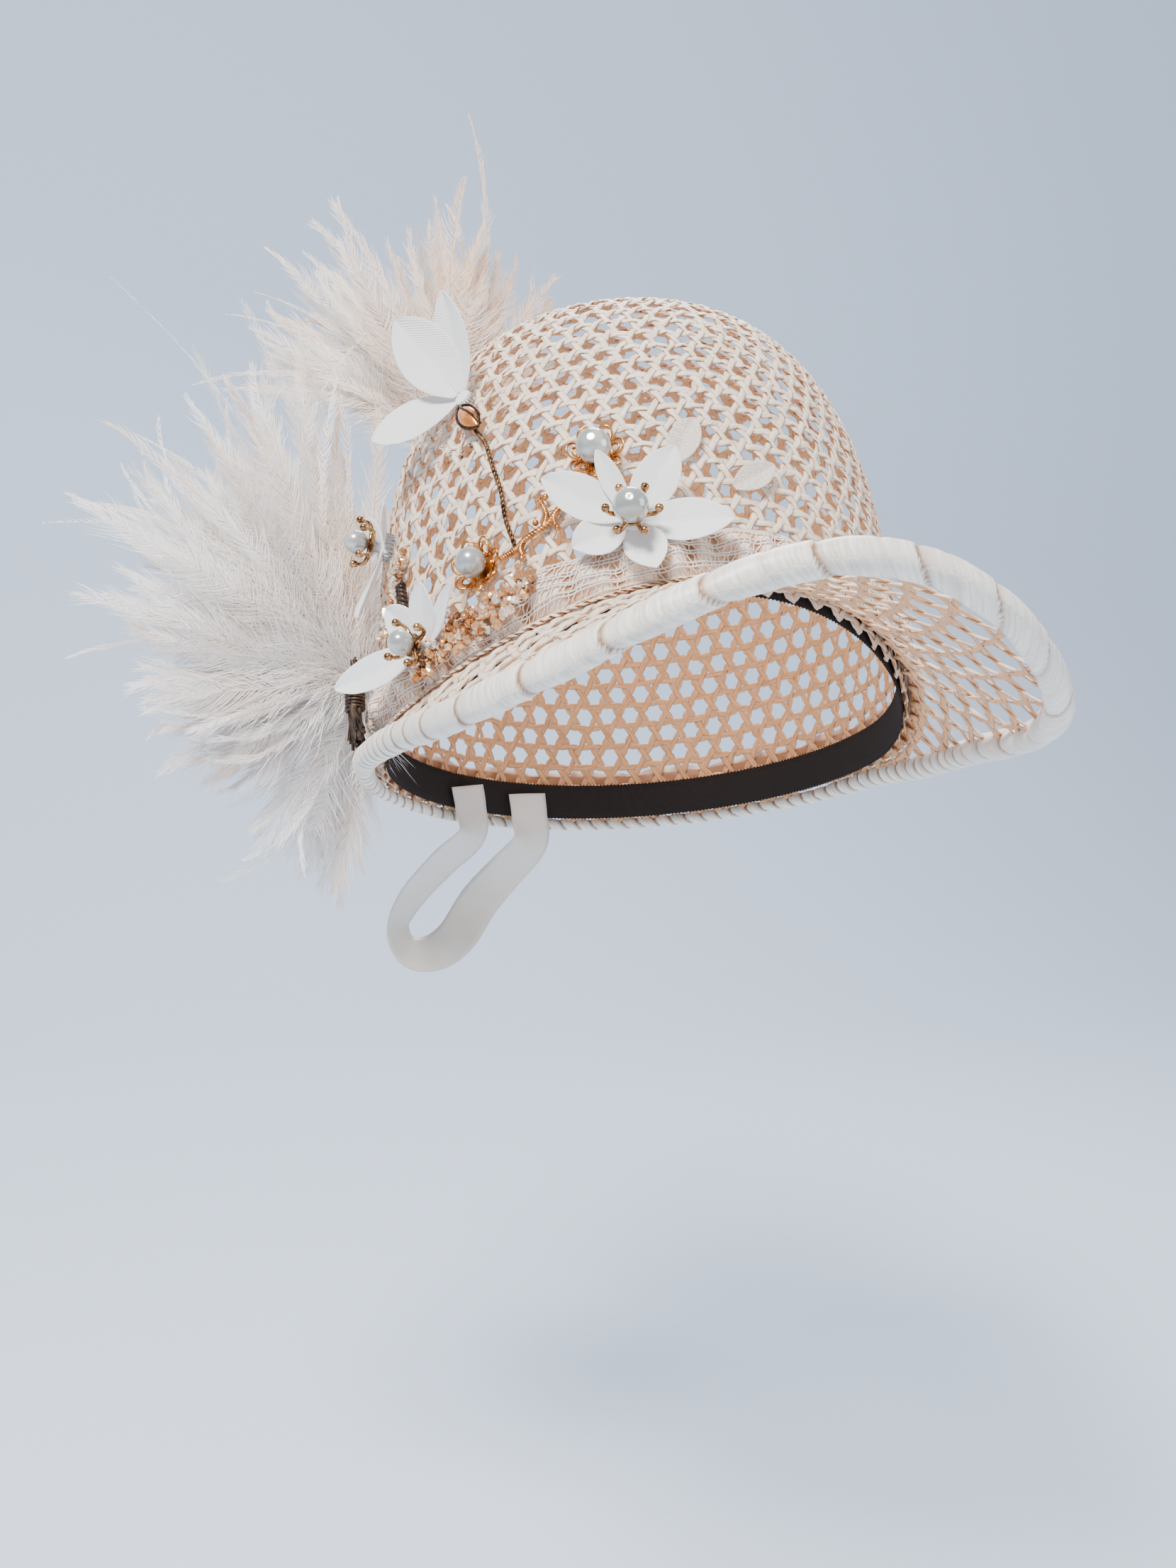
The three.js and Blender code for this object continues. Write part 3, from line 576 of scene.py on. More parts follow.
class FeatherSettings(bpy.types.PropertyGroup):
    """The feathers on the wearer's right"""

    side_feathers: IntProperty(name="Side feathers", description="Number of feathers in the side plume",
                               default=185, min=10, max=400)
    top_feathers: IntProperty(name="Top feathers", description="Number of feathers in the top plume",
                              default=125, min=10, max=400)
    barb_width: FloatProperty(name="Barb width", description="Width of a barb at its root",
                              default=0.0003, min=0.0001, max=0.002, unit="LENGTH")
    feather_colour: FloatVectorProperty(name="Feather colour", description="Colour of the white feathers",
                                        subtype="COLOR", size=3, default=(0.9, 0.89, 0.88))
    warm_colour: FloatVectorProperty(name="Warm colour", description="Colour of the beige feathers",
                                     subtype="COLOR", size=3, default=(0.82, 0.58, 0.4))


class StageSettings(bpy.types.PropertyGroup):
    """Floor and lights"""

    floor_height: FloatProperty(name="Floor height", description="Height of the floor",
                                default=-0.34, min=-2, max=0, unit="LENGTH")
    key_power: FloatProperty(name="Key light", description="Power of the main light in watts",
                             default=56, min=0, max=200)
    floor_colour: FloatVectorProperty(name="Floor colour", description="Colour of the floor",
                                      subtype="COLOR", size=3, default=(0.66, 0.75, 0.88))


# Finishes
class Finish:
    """A procedural material and short ways to add to its nodes."""

    def __init__(self, name, **sockets):
        self.material = bpy.data.materials.new(name)
        self.material.use_nodes = True
        self.tree = self.material.node_tree
        self.shader = self.tree.nodes["Principled BSDF"]
        for socket, value in sockets.items():
            self.shader.inputs[socket.replace("_", " ")].default_value = value

    def node(self, kind, inputs=None, **settings):
        made = self.tree.nodes.new("ShaderNode" + kind)
        for key, value in settings.items():
            setattr(made, key, value)
        for key, value in (inputs or {}).items():
            if isinstance(value, bpy.types.NodeSocket):
                self.tree.links.new(value, made.inputs[key])
            else:
                made.inputs[key].default_value = value
        return made

    def attribute(self, name, output="Vector"):
        return self.node("Attribute", attribute_name=name).outputs[output]

    def place(self, scale=(1, 1, 1), source=None):
        source = source or self.node("TexCoord").outputs["Object"]
        return self.node("Mapping", {"Vector": source, "Scale": scale}).outputs["Vector"]

    def noise(self, vector, scale, detail=3.0, roughness=0.6):
        return self.node("TexNoise", {"Vector": vector, "Scale": scale, "Detail": detail,
                                      "Roughness": roughness}).outputs["Fac"]

    def ramp(self, factor, *stops):
        made = self.node("ValToRGB", {"Fac": factor})
        band = made.color_ramp
        while len(band.elements) < len(stops):
            band.elements.new(0.5)
        for element, (position, colour) in zip(band.elements, stops):
            element.position = position
            element.color = (*colour, 1) if len(colour) == 3 else colour
        return made.outputs["Color"]

    def mix(self, factor, a, b, blend="MIX"):
        made = self.node("Mix", data_type="RGBA", blend_type=blend)
        for key, value in ((0, factor), (6, a), (7, b)):
            if isinstance(value, bpy.types.NodeSocket):
                self.tree.links.new(value, made.inputs[key])
            elif isinstance(value, (int, float)):
                made.inputs[key].default_value = value
            else:
                made.inputs[key].default_value = (*value, 1)
        return made.outputs[2]

    def maths(self, operation, a, b=0.0):
        made = self.node("Math", {0: a, 1: b}, operation=operation)
        return made.outputs[0]

    def colour(self, source):
        self.tree.links.new(source, self.shader.inputs["Base Color"])

    def roughness(self, factor, low, high):
        made = self.node("MapRange", {"Value": factor, "To Min": low, "To Max": high})
        self.tree.links.new(made.outputs["Result"], self.shader.inputs["Roughness"])

    def bump(self, height, strength, distance):
        made = self.node("Bump", {"Height": height, "Strength": strength, "Distance": distance})
        self.tree.links.new(made.outputs["Normal"], self.shader.inputs["Normal"])


def shade(colour, factor):
    return tuple(min(channel * factor, 1.0) for channel in colour)


def straw_finish(name, light, dark):
    """Fibrous flat straw with painted shade: browner on the face that looks into the cap and in its
    creases, where it passes under another strand.
    """
    finish = Finish(name, Roughness=0.5, Specular_IOR_Level=0.45)
    fibre = finish.attribute("fibre")
    streaks = finish.noise(finish.place((0.08, 1.5, 1), fibre), 1.3, 4, 0.65)
    stretches = finish.noise(finish.place((0.16, 0.3, 1), fibre), 1.0, 2)
    tan = tuple(0.5 * a + 0.5 * b for a, b in zip(light, dark))
    sharp = finish.ramp(streaks, (0.36, (0, 0, 0)), (0.6, (1, 1, 1)))
    outside = finish.mix(sharp, shade(light, 0.72), shade(light, 1.08))
    outside = finish.mix(finish.ramp(stretches, (0.5, (0, 0, 0)), (0.74, (0.6, 0.6, 0.6))), outside, tan)
    # Painted shade: the inner colour is mixed in on the face that looks into the cap and where a strand
    # passes under another.
    inside = finish.mix(sharp, dark, shade(dark, 1.6))
    finish.colour(finish.mix(finish.attribute("inner_shade", "Fac"), outside, inside))
    finish.roughness(streaks, 0.3, 0.55)
    finish.bump(streaks, 0.7, 0.0005)
    return finish.material


def satin_finish(name, colour, shaded):
    """Satin straw ribbon: streaks that run round the roll, partly grain and partly painted satin
    highlights, and painted brown shade in the joints.
    """
    finish = Finish(name, Roughness=0.4, Specular_IOR_Level=0.5, Sheen_Weight=0.15)
    wrap = finish.attribute("wrap")
    streaks = finish.noise(finish.place((1.1, 0.09, 1), wrap), 1.0, 4, 0.6)
    joint_shade = finish.attribute("joint_shade", "Fac")
    # The streaks are partly the ribbon's grain and partly painted satin highlights; the joint shade mixes
    # in painted brown shade.
    base = finish.mix(finish.ramp(streaks, (0.35, (0, 0, 0)), (0.62, (1, 1, 1))), shade(colour, 0.76),
                      shade(colour, 1.08))
    finish.colour(finish.mix(joint_shade, base, shaded))
    finish.roughness(streaks, 0.26, 0.5)
    finish.bump(streaks, 0.35, 0.0005)
    return finish.material


def cloth_finish(name, colour, darker, thread, strength=0.35, **sockets):
    """Woven cloth with a fine twill in the piece's own grid."""
    finish = Finish(name, Roughness=0.75, **sockets)
    spot = finish.place((1, 1, 1))
    lines = finish.node("TexWave", {"Vector": finish.place((1, 1, 1.6)), "Scale": thread,
                                    "Distortion": 0.6, "Detail": 1.0},
                        bands_direction="DIAGONAL").outputs["Fac"]
    cloud = finish.noise(spot, 60, 3)
    finish.colour(finish.mix(cloud, darker, colour))
    finish.roughness(cloud, 0.6, 0.85)
    finish.bump(lines, strength, 0.0002)
    return finish.material


def metal_finish(name, bright, dull, rough=(0.2, 0.5), metallic=1.0):
    """Worn plated metal, dark in patches of wear."""
    finish = Finish(name, Metallic=metallic)
    wear = finish.noise(finish.place(), 420, 3, 0.7)
    finish.colour(finish.ramp(wear, (0.36, dull), (0.62, bright)))
    finish.roughness(wear, *rough)
    finish.bump(wear, 0.2, 0.0002)
    return finish.material


def pearl_finish(name, colour):
    """Nacre: a cool and a warm tone that drift over the ball, under a clear coat."""
    finish = Finish(name, Roughness=0.2, Metallic=0.45, Coat_Weight=1.0, Coat_Roughness=0.06,
                    Specular_IOR_Level=0.8)
    drift = finish.noise(finish.place(), 160, 2)
    finish.colour(finish.ramp(drift, (0.35, shade(colour, 0.82)), (0.55, colour),
                              (0.72, (0.72, 0.67, 0.62))))
    finish.roughness(drift, 0.18, 0.3)
    finish.bump(finish.noise(finish.place(), 900, 2), 0.06, 0.0002)
    return finish.material


def bead_finish(name):
    """Foil-backed glass beads: each bead has its own gold, copper or brown."""
    finish = Finish(name, Roughness=0.16, Metallic=0.75, Coat_Weight=0.8)
    tint = finish.attribute("tint", "Fac")
    finish.colour(finish.ramp(tint, (0.0, (0.2, 0.08, 0.03)), (0.3, (0.62, 0.28, 0.1)),
                              (0.6, (0.86, 0.5, 0.24)), (0.85, (0.95, 0.8, 0.62)),
                              (1.0, (1.0, 0.95, 0.86))))
    finish.roughness(finish.noise(finish.place(), 800, 2), 0.08, 0.3)
    return finish.material


def feather_finish(name, colour, warm):
    """Down and barbs, from white to beige, with a darker shaft."""
    finish = Finish(name, Roughness=0.6, Specular_IOR_Level=0.3, Sheen_Weight=0.25)
    tint = finish.attribute("tint", "Fac")
    stain = finish.noise(finish.place(), 28, 2)
    tone = finish.ramp(tint, (0.0, colour), (0.5, warm), (0.85, shade(warm, 0.62)),
                       (1.0, (0.09, 0.065, 0.05)))
    finish.colour(finish.mix(finish.ramp(stain, (0.4, (0, 0, 0)), (0.8, (0.35, 0.35, 0.35))),
                             tone, warm, "MULTIPLY"))
    finish.roughness(stain, 0.5, 0.7)
    return finish.material


def settings():
    return bpy.context.scene.straw_cap


# Nets
class STRAWCAP_OT_crown_net(bpy.types.Operator):
    """Weave the crown's open hexagonal net over its dome"""

    bl_idname = "straw_cap.crown_net"
    bl_label = "Crown net"

    def execute(self, context):
        straw = settings().net
        rng = np.random.default_rng(11)
        cells, triangles = crown_cells()
        lines = []
        for flat, level, knot, closed in strand_paths(cells, triangles, 0.35, 5):
            azimuth, distance = unpolar(flat)
            lift = np.full(len(flat), -WALL / 2)
            points = crown_at(azimuth, distance, lift)
            lines.append(strand_line(points, crown_normal(points), level, knot, closed, rng, straw))
        piece = tubes("crown_net", lines, 6)
        finish = straw_finish("woven straw", straw.light_colour, straw.inner_shade_colour)
        dressed(piece, finish, ["crown"])
        return {"FINISHED"}


def brim_runs(flat, limit):
    """The runs of a strand that lie between the brim's root and its roll."""
    azimuth, distance = unpolar(flat)
    reach = distance - BRIM_START
    inside = (reach <= limit(azimuth)) & (reach >= -0.5)
    runs, start = [], None
    for i in range(len(flat) + 1):
        if i < len(flat) and inside[i]:
            start = i if start is None else start
        elif start is not None:
            low, high = max(start - 1, 0), min(i + 1, len(flat))
            if i - start >= 2:
                runs.append(slice(low, high))
            start = None
    return runs


def seam_plait(straw, rng):
    """Three straws plaited along the seam between the crown and the brim."""
    azimuth = np.linspace(0, 360, SEAM_CORNERS, endpoint=False)
    root, out, up, _, _ = brim_line(azimuth)
    lines = []
    for k in range(3):
        phase = np.radians(azimuth) * 70 + 2 * np.pi * k / 3
        away = 0.5 + 1.2 * np.sin(phase)
        points = root + out * away[:, None] + up * 0.3
        flat = np.zeros(SEAM_CORNERS)
        lines.append(strand_line(points, up, np.sin(2 * phase), flat, True, rng, straw))
    return lines


class STRAWCAP_OT_brim_net(bpy.types.Operator):
    """Weave the wider net of the peak and the brim"""

    bl_idname = "straw_cap.brim_net"
    bl_label = "Brim net"

    row_depth: FloatProperty(name="Row depth", description="Depth of a row of cells, in millimetres",
                             default=10.4, min=4, max=30)
    stoutness: FloatProperty(name="Stoutness", description="Width against the crown's straws",
                             default=1.2, min=0.5, max=3)

    def execute(self, context):
        straw = settings().net
        rng = np.random.default_rng(23)
        rows = int(PEAK / self.row_depth) + 2
        cells, triangles = [], []
        for row in range(rows):
            azimuth = 360 * (np.arange(COLUMNS) + (row % 2) / 2) / COLUMNS
            cells.append(polar(azimuth, np.full(COLUMNS, BRIM_START + row * self.row_depth)))
            if row < rows - 1:
                triangles += row_triangles(row * COLUMNS, (row + 1) * COLUMNS, row % 2, COLUMNS)

        def limit(azimuth):
            _, _, _, roll, reach = brim_line(azimuth)
            return reach - roll * 0.6

        lines = []
        for flat, level, knot, closed in strand_paths(np.vstack(cells), np.array(triangles), 0.5, 7):
            if closed:
                flat = np.vstack([flat, flat[:1]])
                level, knot = np.append(level, level[0]), np.append(knot, 1)
            for run in brim_runs(flat, limit):
                azimuth, distance = unpolar(flat[run])
                root, out, up, _, _ = brim_line(azimuth)
                away = np.clip(distance - BRIM_START, -0.5, limit(azimuth))
                points = root + out * away[:, None] - up * (WALL / 2)
                line = strand_line(points, up, level[run], knot[run], False, rng, straw)
                line["width"] *= self.stoutness
                line["thick"] *= self.stoutness**2
                lines.append(line)
        lines += seam_plait(straw, rng)
        piece = tubes("brim_net", lines, 6)
        finish = straw_finish("brim straw", straw.light_colour, straw.inner_shade_colour)
        dressed(piece, finish, ["brim"])
        return {"FINISHED"}


class STRAWCAP_OT_edge_binding(bpy.types.Operator):
    """Wrap the satin straw ribbon round the roll on the brim's edge"""

    bl_idname = "straw_cap.edge_binding"
    bl_label = "Edge binding"

    def execute(self, context):
        edge = settings().edge
        around, across = 1700, 22
        turn = np.linspace(-180, 180, around + 1)
        root, out, _, _, reach = brim_line(turn)
        middle = root + out * reach[:, None]
        length = np.linalg.norm(np.diff(middle, axis=0), axis=1)
        share = np.clip((np.abs(turn) - 38) / 26, 0, 1)
        pitch = 1000 * (edge.wrap_pitch * (1 - share) + edge.tight_pitch * share)
        wraps = np.concatenate([[0], np.cumsum(length / (pitch[:-1] + pitch[1:]) * 2)])
        wraps *= round(wraps[-1]) / wraps[-1]
        rng = np.random.default_rng(31)
        size = rng.uniform(0.95, 1.02, WRAP_KINDS)
        lean = rng.uniform(-0.5, 1.0, WRAP_KINDS)
        fold = rng.uniform(0.25, 0.8, WRAP_KINDS)
        kinds = np.arange(WRAP_KINDS)
        made = {}

        def place(azimuth, part):
            root, out, up, roll, reach = brim_line(azimuth)
            angle = 2 * np.pi * part
            wrap = np.interp(azimuth, turn, wraps)
            wide = np.interp(azimuth, turn, pitch)
            slant = np.minimum(9.0 / wide, 0.6) * (0.35 + 0.25 * np.interp(wrap, kinds, lean))
            phase = wrap + slant * np.cos(angle - 0.6)
            number = np.floor(phase).astype(int)
            kind = number % WRAP_KINDS
            past = phase - number
            beyond = past * wide
            lap = np.exp(-((beyond / np.minimum(1.3, 0.2 * wide)) ** 2))
            pinch = np.exp(-beyond / (0.14 * wide + 0.5))
            crease = np.exp(-(((past - fold[kind]) * wide / 1.3) ** 2)) * (wide > 15)
            swell = 0.04 * np.sin(np.pi * past) + 0.015 * np.sin(7 * azimuth / 9 + 3 * angle)
            depth = np.minimum(0.8 / roll, 0.2)
            radius = roll * (size[kind] + swell - depth * pinch - 0.05 * crease)
            # Painted shade: darkest where each wrap tucks under the next, softer along its pinch and in its
            # crease.
            made["joint_shade"] = np.clip(lap + 0.3 * pinch + 0.14 * crease, 0, 1)
            made["wrap"] = np.stack([phase * wide, angle * roll, number * 3.7], -1)
            rise = up * (radius * np.sin(angle))[:, None] * 0.97
            return root + out * (reach + radius * np.cos(angle))[:, None] + rise

        piece = ring_piece("wrapped_edge", around, across, place, made)
        # The brown given here is the painted shade of the joints.
        finish = satin_finish("satin straw ribbon", edge.ribbon_colour, (0.3, 0.15, 0.07))
        dressed(piece, finish, ["edge_binding"])
        return {"FINISHED"}


class STRAWCAP_OT_head_ribbon(bpy.types.Operator):
    """Sew the ribbed head ribbon inside the opening"""

    bl_idname = "straw_cap.head_ribbon"
    bl_label = "Head ribbon"

    def execute(self, context):
        around, across = 1200, 12

        def place(azimuth, part):
            step = np.round(part * across).astype(int)
            is_back = step >= across // 2
            climb = np.where(is_back, across - 1 - step, step) / (across / 2 - 1)
            tooth = 0.28 * np.where(np.round(azimuth / 360 * around).astype(int) % 3 == 0, 1, -0.5)
            at_edge = np.where(climb < 0.01, -1.0, np.where(climb > 0.99, 1.0, 0.0))
            foot = distance_at(head_line(azimuth) - SEAM)
            wave = 0.12 * np.sin(np.radians(azimuth) * 23) * np.sin(np.pi * climb)
            depth = np.where(is_back, 2.35, 2.9) + wave
            return crown_at(azimuth, foot - 13 * climb - tooth * at_edge, -depth)

        piece = ring_piece("ribbed_head_ribbon", around, across, place, {})
        finish = Finish("dark ribbed ribbon", Roughness=0.85, Specular_IOR_Level=0.2)
        points = coordinates(piece)
        turn = np.degrees(np.arctan2(points[:, 0], -points[:, 1]))
        give_values(piece, "ribs", np.stack([turn * 1.6, points[:, 2] * 100, np.zeros(len(turn))], -1))
        ribs = finish.node("TexWave", {"Vector": finish.attribute("ribs"), "Scale": 1.0,
                                       "Distortion": 0.3}, bands_direction="X").outputs["Fac"]
        finish.colour(finish.mix(ribs, (0.006, 0.005, 0.005), (0.035, 0.027, 0.024)))
        finish.bump(ribs, 0.5, 0.0004)
        dressed(piece, finish.material, ["head_ribbon"])
        return {"FINISHED"}


# Lace
def crease_depth(azimuth, climb):
    """Slanting creases of the gathered cloth, from -1.6 to 1.6."""
    a = np.radians(azimuth)
    return np.sin(47 * a + 2.6 * np.sin(4 * a) + 3.4 * climb) + 0.6 * np.sin(83 * a - 2.3 * climb + 1)


def band_lift(azimuth, climb):
    """How far the pleated band stands off the crown, from its foot (0) to its head (1)."""
    a = np.radians(azimuth)
    puff = 0.5 + 0.5 * np.sin(19 * a + 1.6 * np.sin(5 * a) + 1.4 * climb)
    round_out = np.sin(np.pi * np.clip(climb, 0.04, 0.96)) ** 0.6
    return 0.8 + round_out * (2.0 + 2.1 * puff**0.7 + 0.8 * crease_depth(azimuth, climb))


def band_point(azimuth, climb, above_cloth=0.0):
    a = np.radians(azimuth)
    ragged = 0.7 * np.sin(17 * a) * climb + 0.4 * np.sin(41 * a + 2) * climb
    rise = head_line(azimuth) + BAND_LIFT - 1.2 * (1 - climb) + BAND_HEIGHT * climb + ragged
    return crown_at(azimuth, distance_at(rise), band_lift(azimuth, climb) + above_cloth)


class STRAWCAP_OT_lace_band(bpy.types.Operator):
    """Pleat the peach cloth round the crown's foot and lay the open lace over it"""

    bl_idname = "straw_cap.lace_band"
    bl_label = "Lace band"

    def execute(self, context):
        around, across = 960, 16
        made = {}

        def place(azimuth, part):
            step = np.round(part * across).astype(int)
            is_back = step >= across // 2 + 3
            face_steps = across // 2 + 2
            climb = np.where(is_back, (across - step) / (across - face_steps), step / face_steps)
            lift = np.where(is_back, 0.0, 1.0)
            # The fold depth also paints shade: deep creases darker, raised folds lighter.
            made["fold"] = np.clip(0.5 + 0.32 * crease_depth(azimuth, climb), 0, 1) * lift
            front = band_point(azimuth, np.clip(climb, 0, 1))
            rise = head_line(azimuth) + BAND_LIFT + BAND_HEIGHT * np.clip(climb, 0, 1)
            back = crown_at(azimuth, distance_at(rise), np.full(len(azimuth), GAP))
            return front * lift[:, None] + back * (1 - lift)[:, None]

        piece = ring_piece("pleated_band", around, across, place, made)
        finish = Finish("peach chiffon", Roughness=0.6, Sheen_Weight=0.2)
        cloud = finish.noise(finish.place((1, 1, 2.5)), 110, 3, 0.6)
        shaded_folds = finish.maths("ADD", finish.maths("MULTIPLY", finish.attribute("fold", "Fac"), 0.6),
                             finish.maths("MULTIPLY", cloud, 0.4))
        # Painted shade and light: deep creases go brown, raised folds pale peach; the cloud is the cloth's
        # own uneven tone.
        finish.colour(finish.ramp(shaded_folds, (0.2, (0.4, 0.17, 0.07)), (0.42, (0.8, 0.47, 0.29)),
                                  (0.68, (0.96, 0.78, 0.64))))
        finish.bump(shaded_folds, 0.5, 0.001)
        dressed(piece, finish.material, ["lace_band"])
        lace = self.threads()
        return {"FINISHED"}

    def threads(self):
        """Cords along the band with slanting twisted pairs between them."""
        rng = np.random.default_rng(41)
        lines = []

        def add(azimuth, climb, width, closed):
            points = band_point(azimuth, climb, 0.45)
            normal = crown_normal(points)
            n = len(points)
            lines.append({"points": points, "over": normal, "width": np.full(n, width),
                          "thick": np.full(n, width * 0.7), "closed": closed,
                          "seed": rng.uniform(0, 100)})

        ring = np.linspace(0, 360, 800, endpoint=False)
        for climb in (0.06, 0.2, 0.26, 0.42, 0.48, 0.64, 0.7, 0.86, 0.92):
            sway = 0.03 * np.sin(np.radians(ring) * 13 + 9 * climb)
            add(ring, np.clip(climb + sway, 0.02, 0.98), 0.62, True)
        count = 340
        for k in range(count):
            start = 360 * k / count
            lean = 5.5 * math.sin(math.radians(start) * 9 + 0.7)
            climb = np.linspace(0.03, 0.97, 9)
            sway = 0.25 * np.where(np.arange(9) % 2, 1, -1) * (1 if k % 2 else -1)
            add(start + lean * (climb - 0.5) + sway, climb, 0.5, False)
        piece = tubes("lace_threads", lines, 4)
        finish = Finish("lace thread", Roughness=0.65, Sheen_Weight=0.2)
        twist = finish.noise(finish.place((1.2, 3, 1), finish.attribute("fibre")), 1.5, 3)
        finish.colour(finish.mix(twist, (0.72, 0.6, 0.52), (0.93, 0.88, 0.82)))
        finish.bump(twist, 0.4, 0.0003)
        return dressed(piece, finish.material)


# Flowers
PETAL_ALONG = (0, 0.08, 0.2, 0.35, 0.5, 0.65, 0.8, 0.9, 0.96, 1)
PETAL_ACROSS = (0.22, 0.46, 0.74, 0.93, 1, 0.93, 0.72, 0.46, 0.25, 0.03)


def petal_piece(name, seat, height, turn, rise, length, width, cup=0.22, wave=0.0):
    """A pointed cloth petal that curls up from its root and at its edges."""
    thickness = settings().flowers.petal_thickness

    def place(u, v):
        half = width / 2 * np.interp(u, PETAL_ALONG, PETAL_ACROSS)
        y = (2 * v - 1) * half
        z = cup * np.abs(y) ** 1.6 / np.maximum(width / 2, 1) ** 0.6 + cup * length * u * u / 2
        z = z - 0.35 * np.exp(-(y / 1.2) ** 2) + wave * np.sin(5 * u + 2 * v) * (2 * v - 1)
        local = np.stack([PETAL_ROOT + length * u, y, z], -1)
        return on_seat(turned(local, turn, rise) + np.array([0, 0, height]), seat)

    piece = grid_piece(name, 18, 10, place)
    apply_modifier(piece, "SOLIDIFY", thickness=thickness, offset=0)
    apply_modifier(piece, "SUBSURF", levels=1, render_levels=1)
    return piece


def stem_piece(name, seat, radius, height):
    """The bound cloth stem under a flower, rounded at its foot."""
    bpy.ops.object.select_all(action="DESELECT")
    bpy.ops.mesh.primitive_cylinder_add(vertices=20, radius=radius, depth=height)
    piece = bpy.context.object
    piece.name = piece.data.name = name
    bpy.ops.object.mode_set(mode="EDIT")
    bpy.ops.mesh.select_all(action="SELECT")
    bpy.ops.mesh.bevel(offset=min(radius, height) * 0.3, segments=3, affect="EDGES", profile=0.6)
    bpy.ops.object.mode_set(mode="OBJECT")
    points = coordinates(piece) + np.array([0, 0, height / 2])
    set_coordinates(piece, to_world(on_seat(points, seat)))
    return piece


def claw_pieces(name, seat, foot, claws, start):
    """Curved prongs on a plate, each with a ball at its tip and a collar under it."""
    made = []
    for k in range(claws):
        turn = start + 360 * k / claws
        stretch = 1 + 0.06 * math.sin(5 * k + start)
        bend = [(1.6, 0, 0.5), (4.0, 0, 0.45), (6.2, 0, 1.0), (7.3, 0, 2.3), (7.6, 0, 4.0)]
        line = curve_through(np.array(bend) * (stretch, 1, 1) + (0, 0, foot), 14)
        taper = np.linspace(1.25, 0.75, 14)
        made.append(wire_piece(f"{name}_prong_{k}", on_seat(turned(line, turn), seat), 0.72, taper=taper))
        tip = turned(np.array([7.6 * stretch, 0, foot + 4.6]), turn)
        made.append(ball_piece(f"{name}_tip_{k}", tip, (1.3, 1.3, 1.35), seat, 14, 9))
        ring = np.radians(np.arange(0, 360, 30))
        collar = np.stack([0.85 * np.cos(ring), 0.85 * np.sin(ring), 0 * ring], -1)
        made.append(wire_piece(f"{name}_collar_{k}",
                               on_seat(collar + turned((7.6 * stretch, 0, foot + 3.6), turn), seat),
                               0.24, closed=True, resolution=1))
    return made


def plate_piece(name, seat, radius, foot, height):
    """A domed plate with a stepped rim, under a pearl."""
    bpy.ops.object.select_all(action="DESELECT")
    bpy.ops.mesh.primitive_cylinder_add(vertices=28, radius=radius, depth=height)
    piece = bpy.context.object
    piece.name = piece.data.name = name
    bpy.ops.object.mode_set(mode="EDIT")
    bpy.ops.mesh.select_all(action="DESELECT")
    bpy.ops.object.mode_set(mode="OBJECT")
    for face in piece.data.polygons:
        face.select = face.normal.z > 0.9
    bpy.ops.object.mode_set(mode="EDIT")
    bpy.ops.mesh.inset(thickness=radius * 0.22)
    bpy.ops.transform.translate(value=(0, 0, -height * 0.35))
    bpy.ops.mesh.select_all(action="SELECT")
    bpy.ops.mesh.bevel(offset=height * 0.15, segments=2, affect="EDGES")
    bpy.ops.object.mode_set(mode="OBJECT")
    points = coordinates(piece) + np.array([0, 0, foot + height / 2])
    set_coordinates(piece, to_world(on_seat(points, seat)))
    return piece


def drilled(points):
    """A pearl: a ball that is not quite round, with a small drill hole at its top."""
    z = points[:, 2]
    bump = 1 + 0.012 * np.sin(3 * points[:, 0] + 2 * points[:, 1])
    points = points * bump[:, None]
    points[:, 2] -= np.where(z > 0.995, 0.06, 0.0)
    return points


FLOWERS = (
    ("front_flower", -19.6, 0.275, 0.3, 5.4, 3.6, 5.25, 6, -5,
     ((55, 8, 23, 14), (-8, 4, 28, 14), (-71, 8, 17, 13), (206, 6, 18, 13), (153, 6, 27, 14),
      (114, 10, 21, 7))),
    ("lower_flower", -62, 0.1, BAND_FACE, 2.6, 3.6, 3.9, 4, 20,
     ((72, 12, 18, 13), (30, 10, 24, 8), (186, 2, 36, 12), (128, 10, 18, 12))),
    ("side_flower", -87, 0.43, -1.4, 4.4, 4.8, 4.0, 5, 90,
     ((-84, 9, 26, 18), (24, 9, 17, 12), (146, 9, 18, 14))),
)
SETTING_POST = 2.4


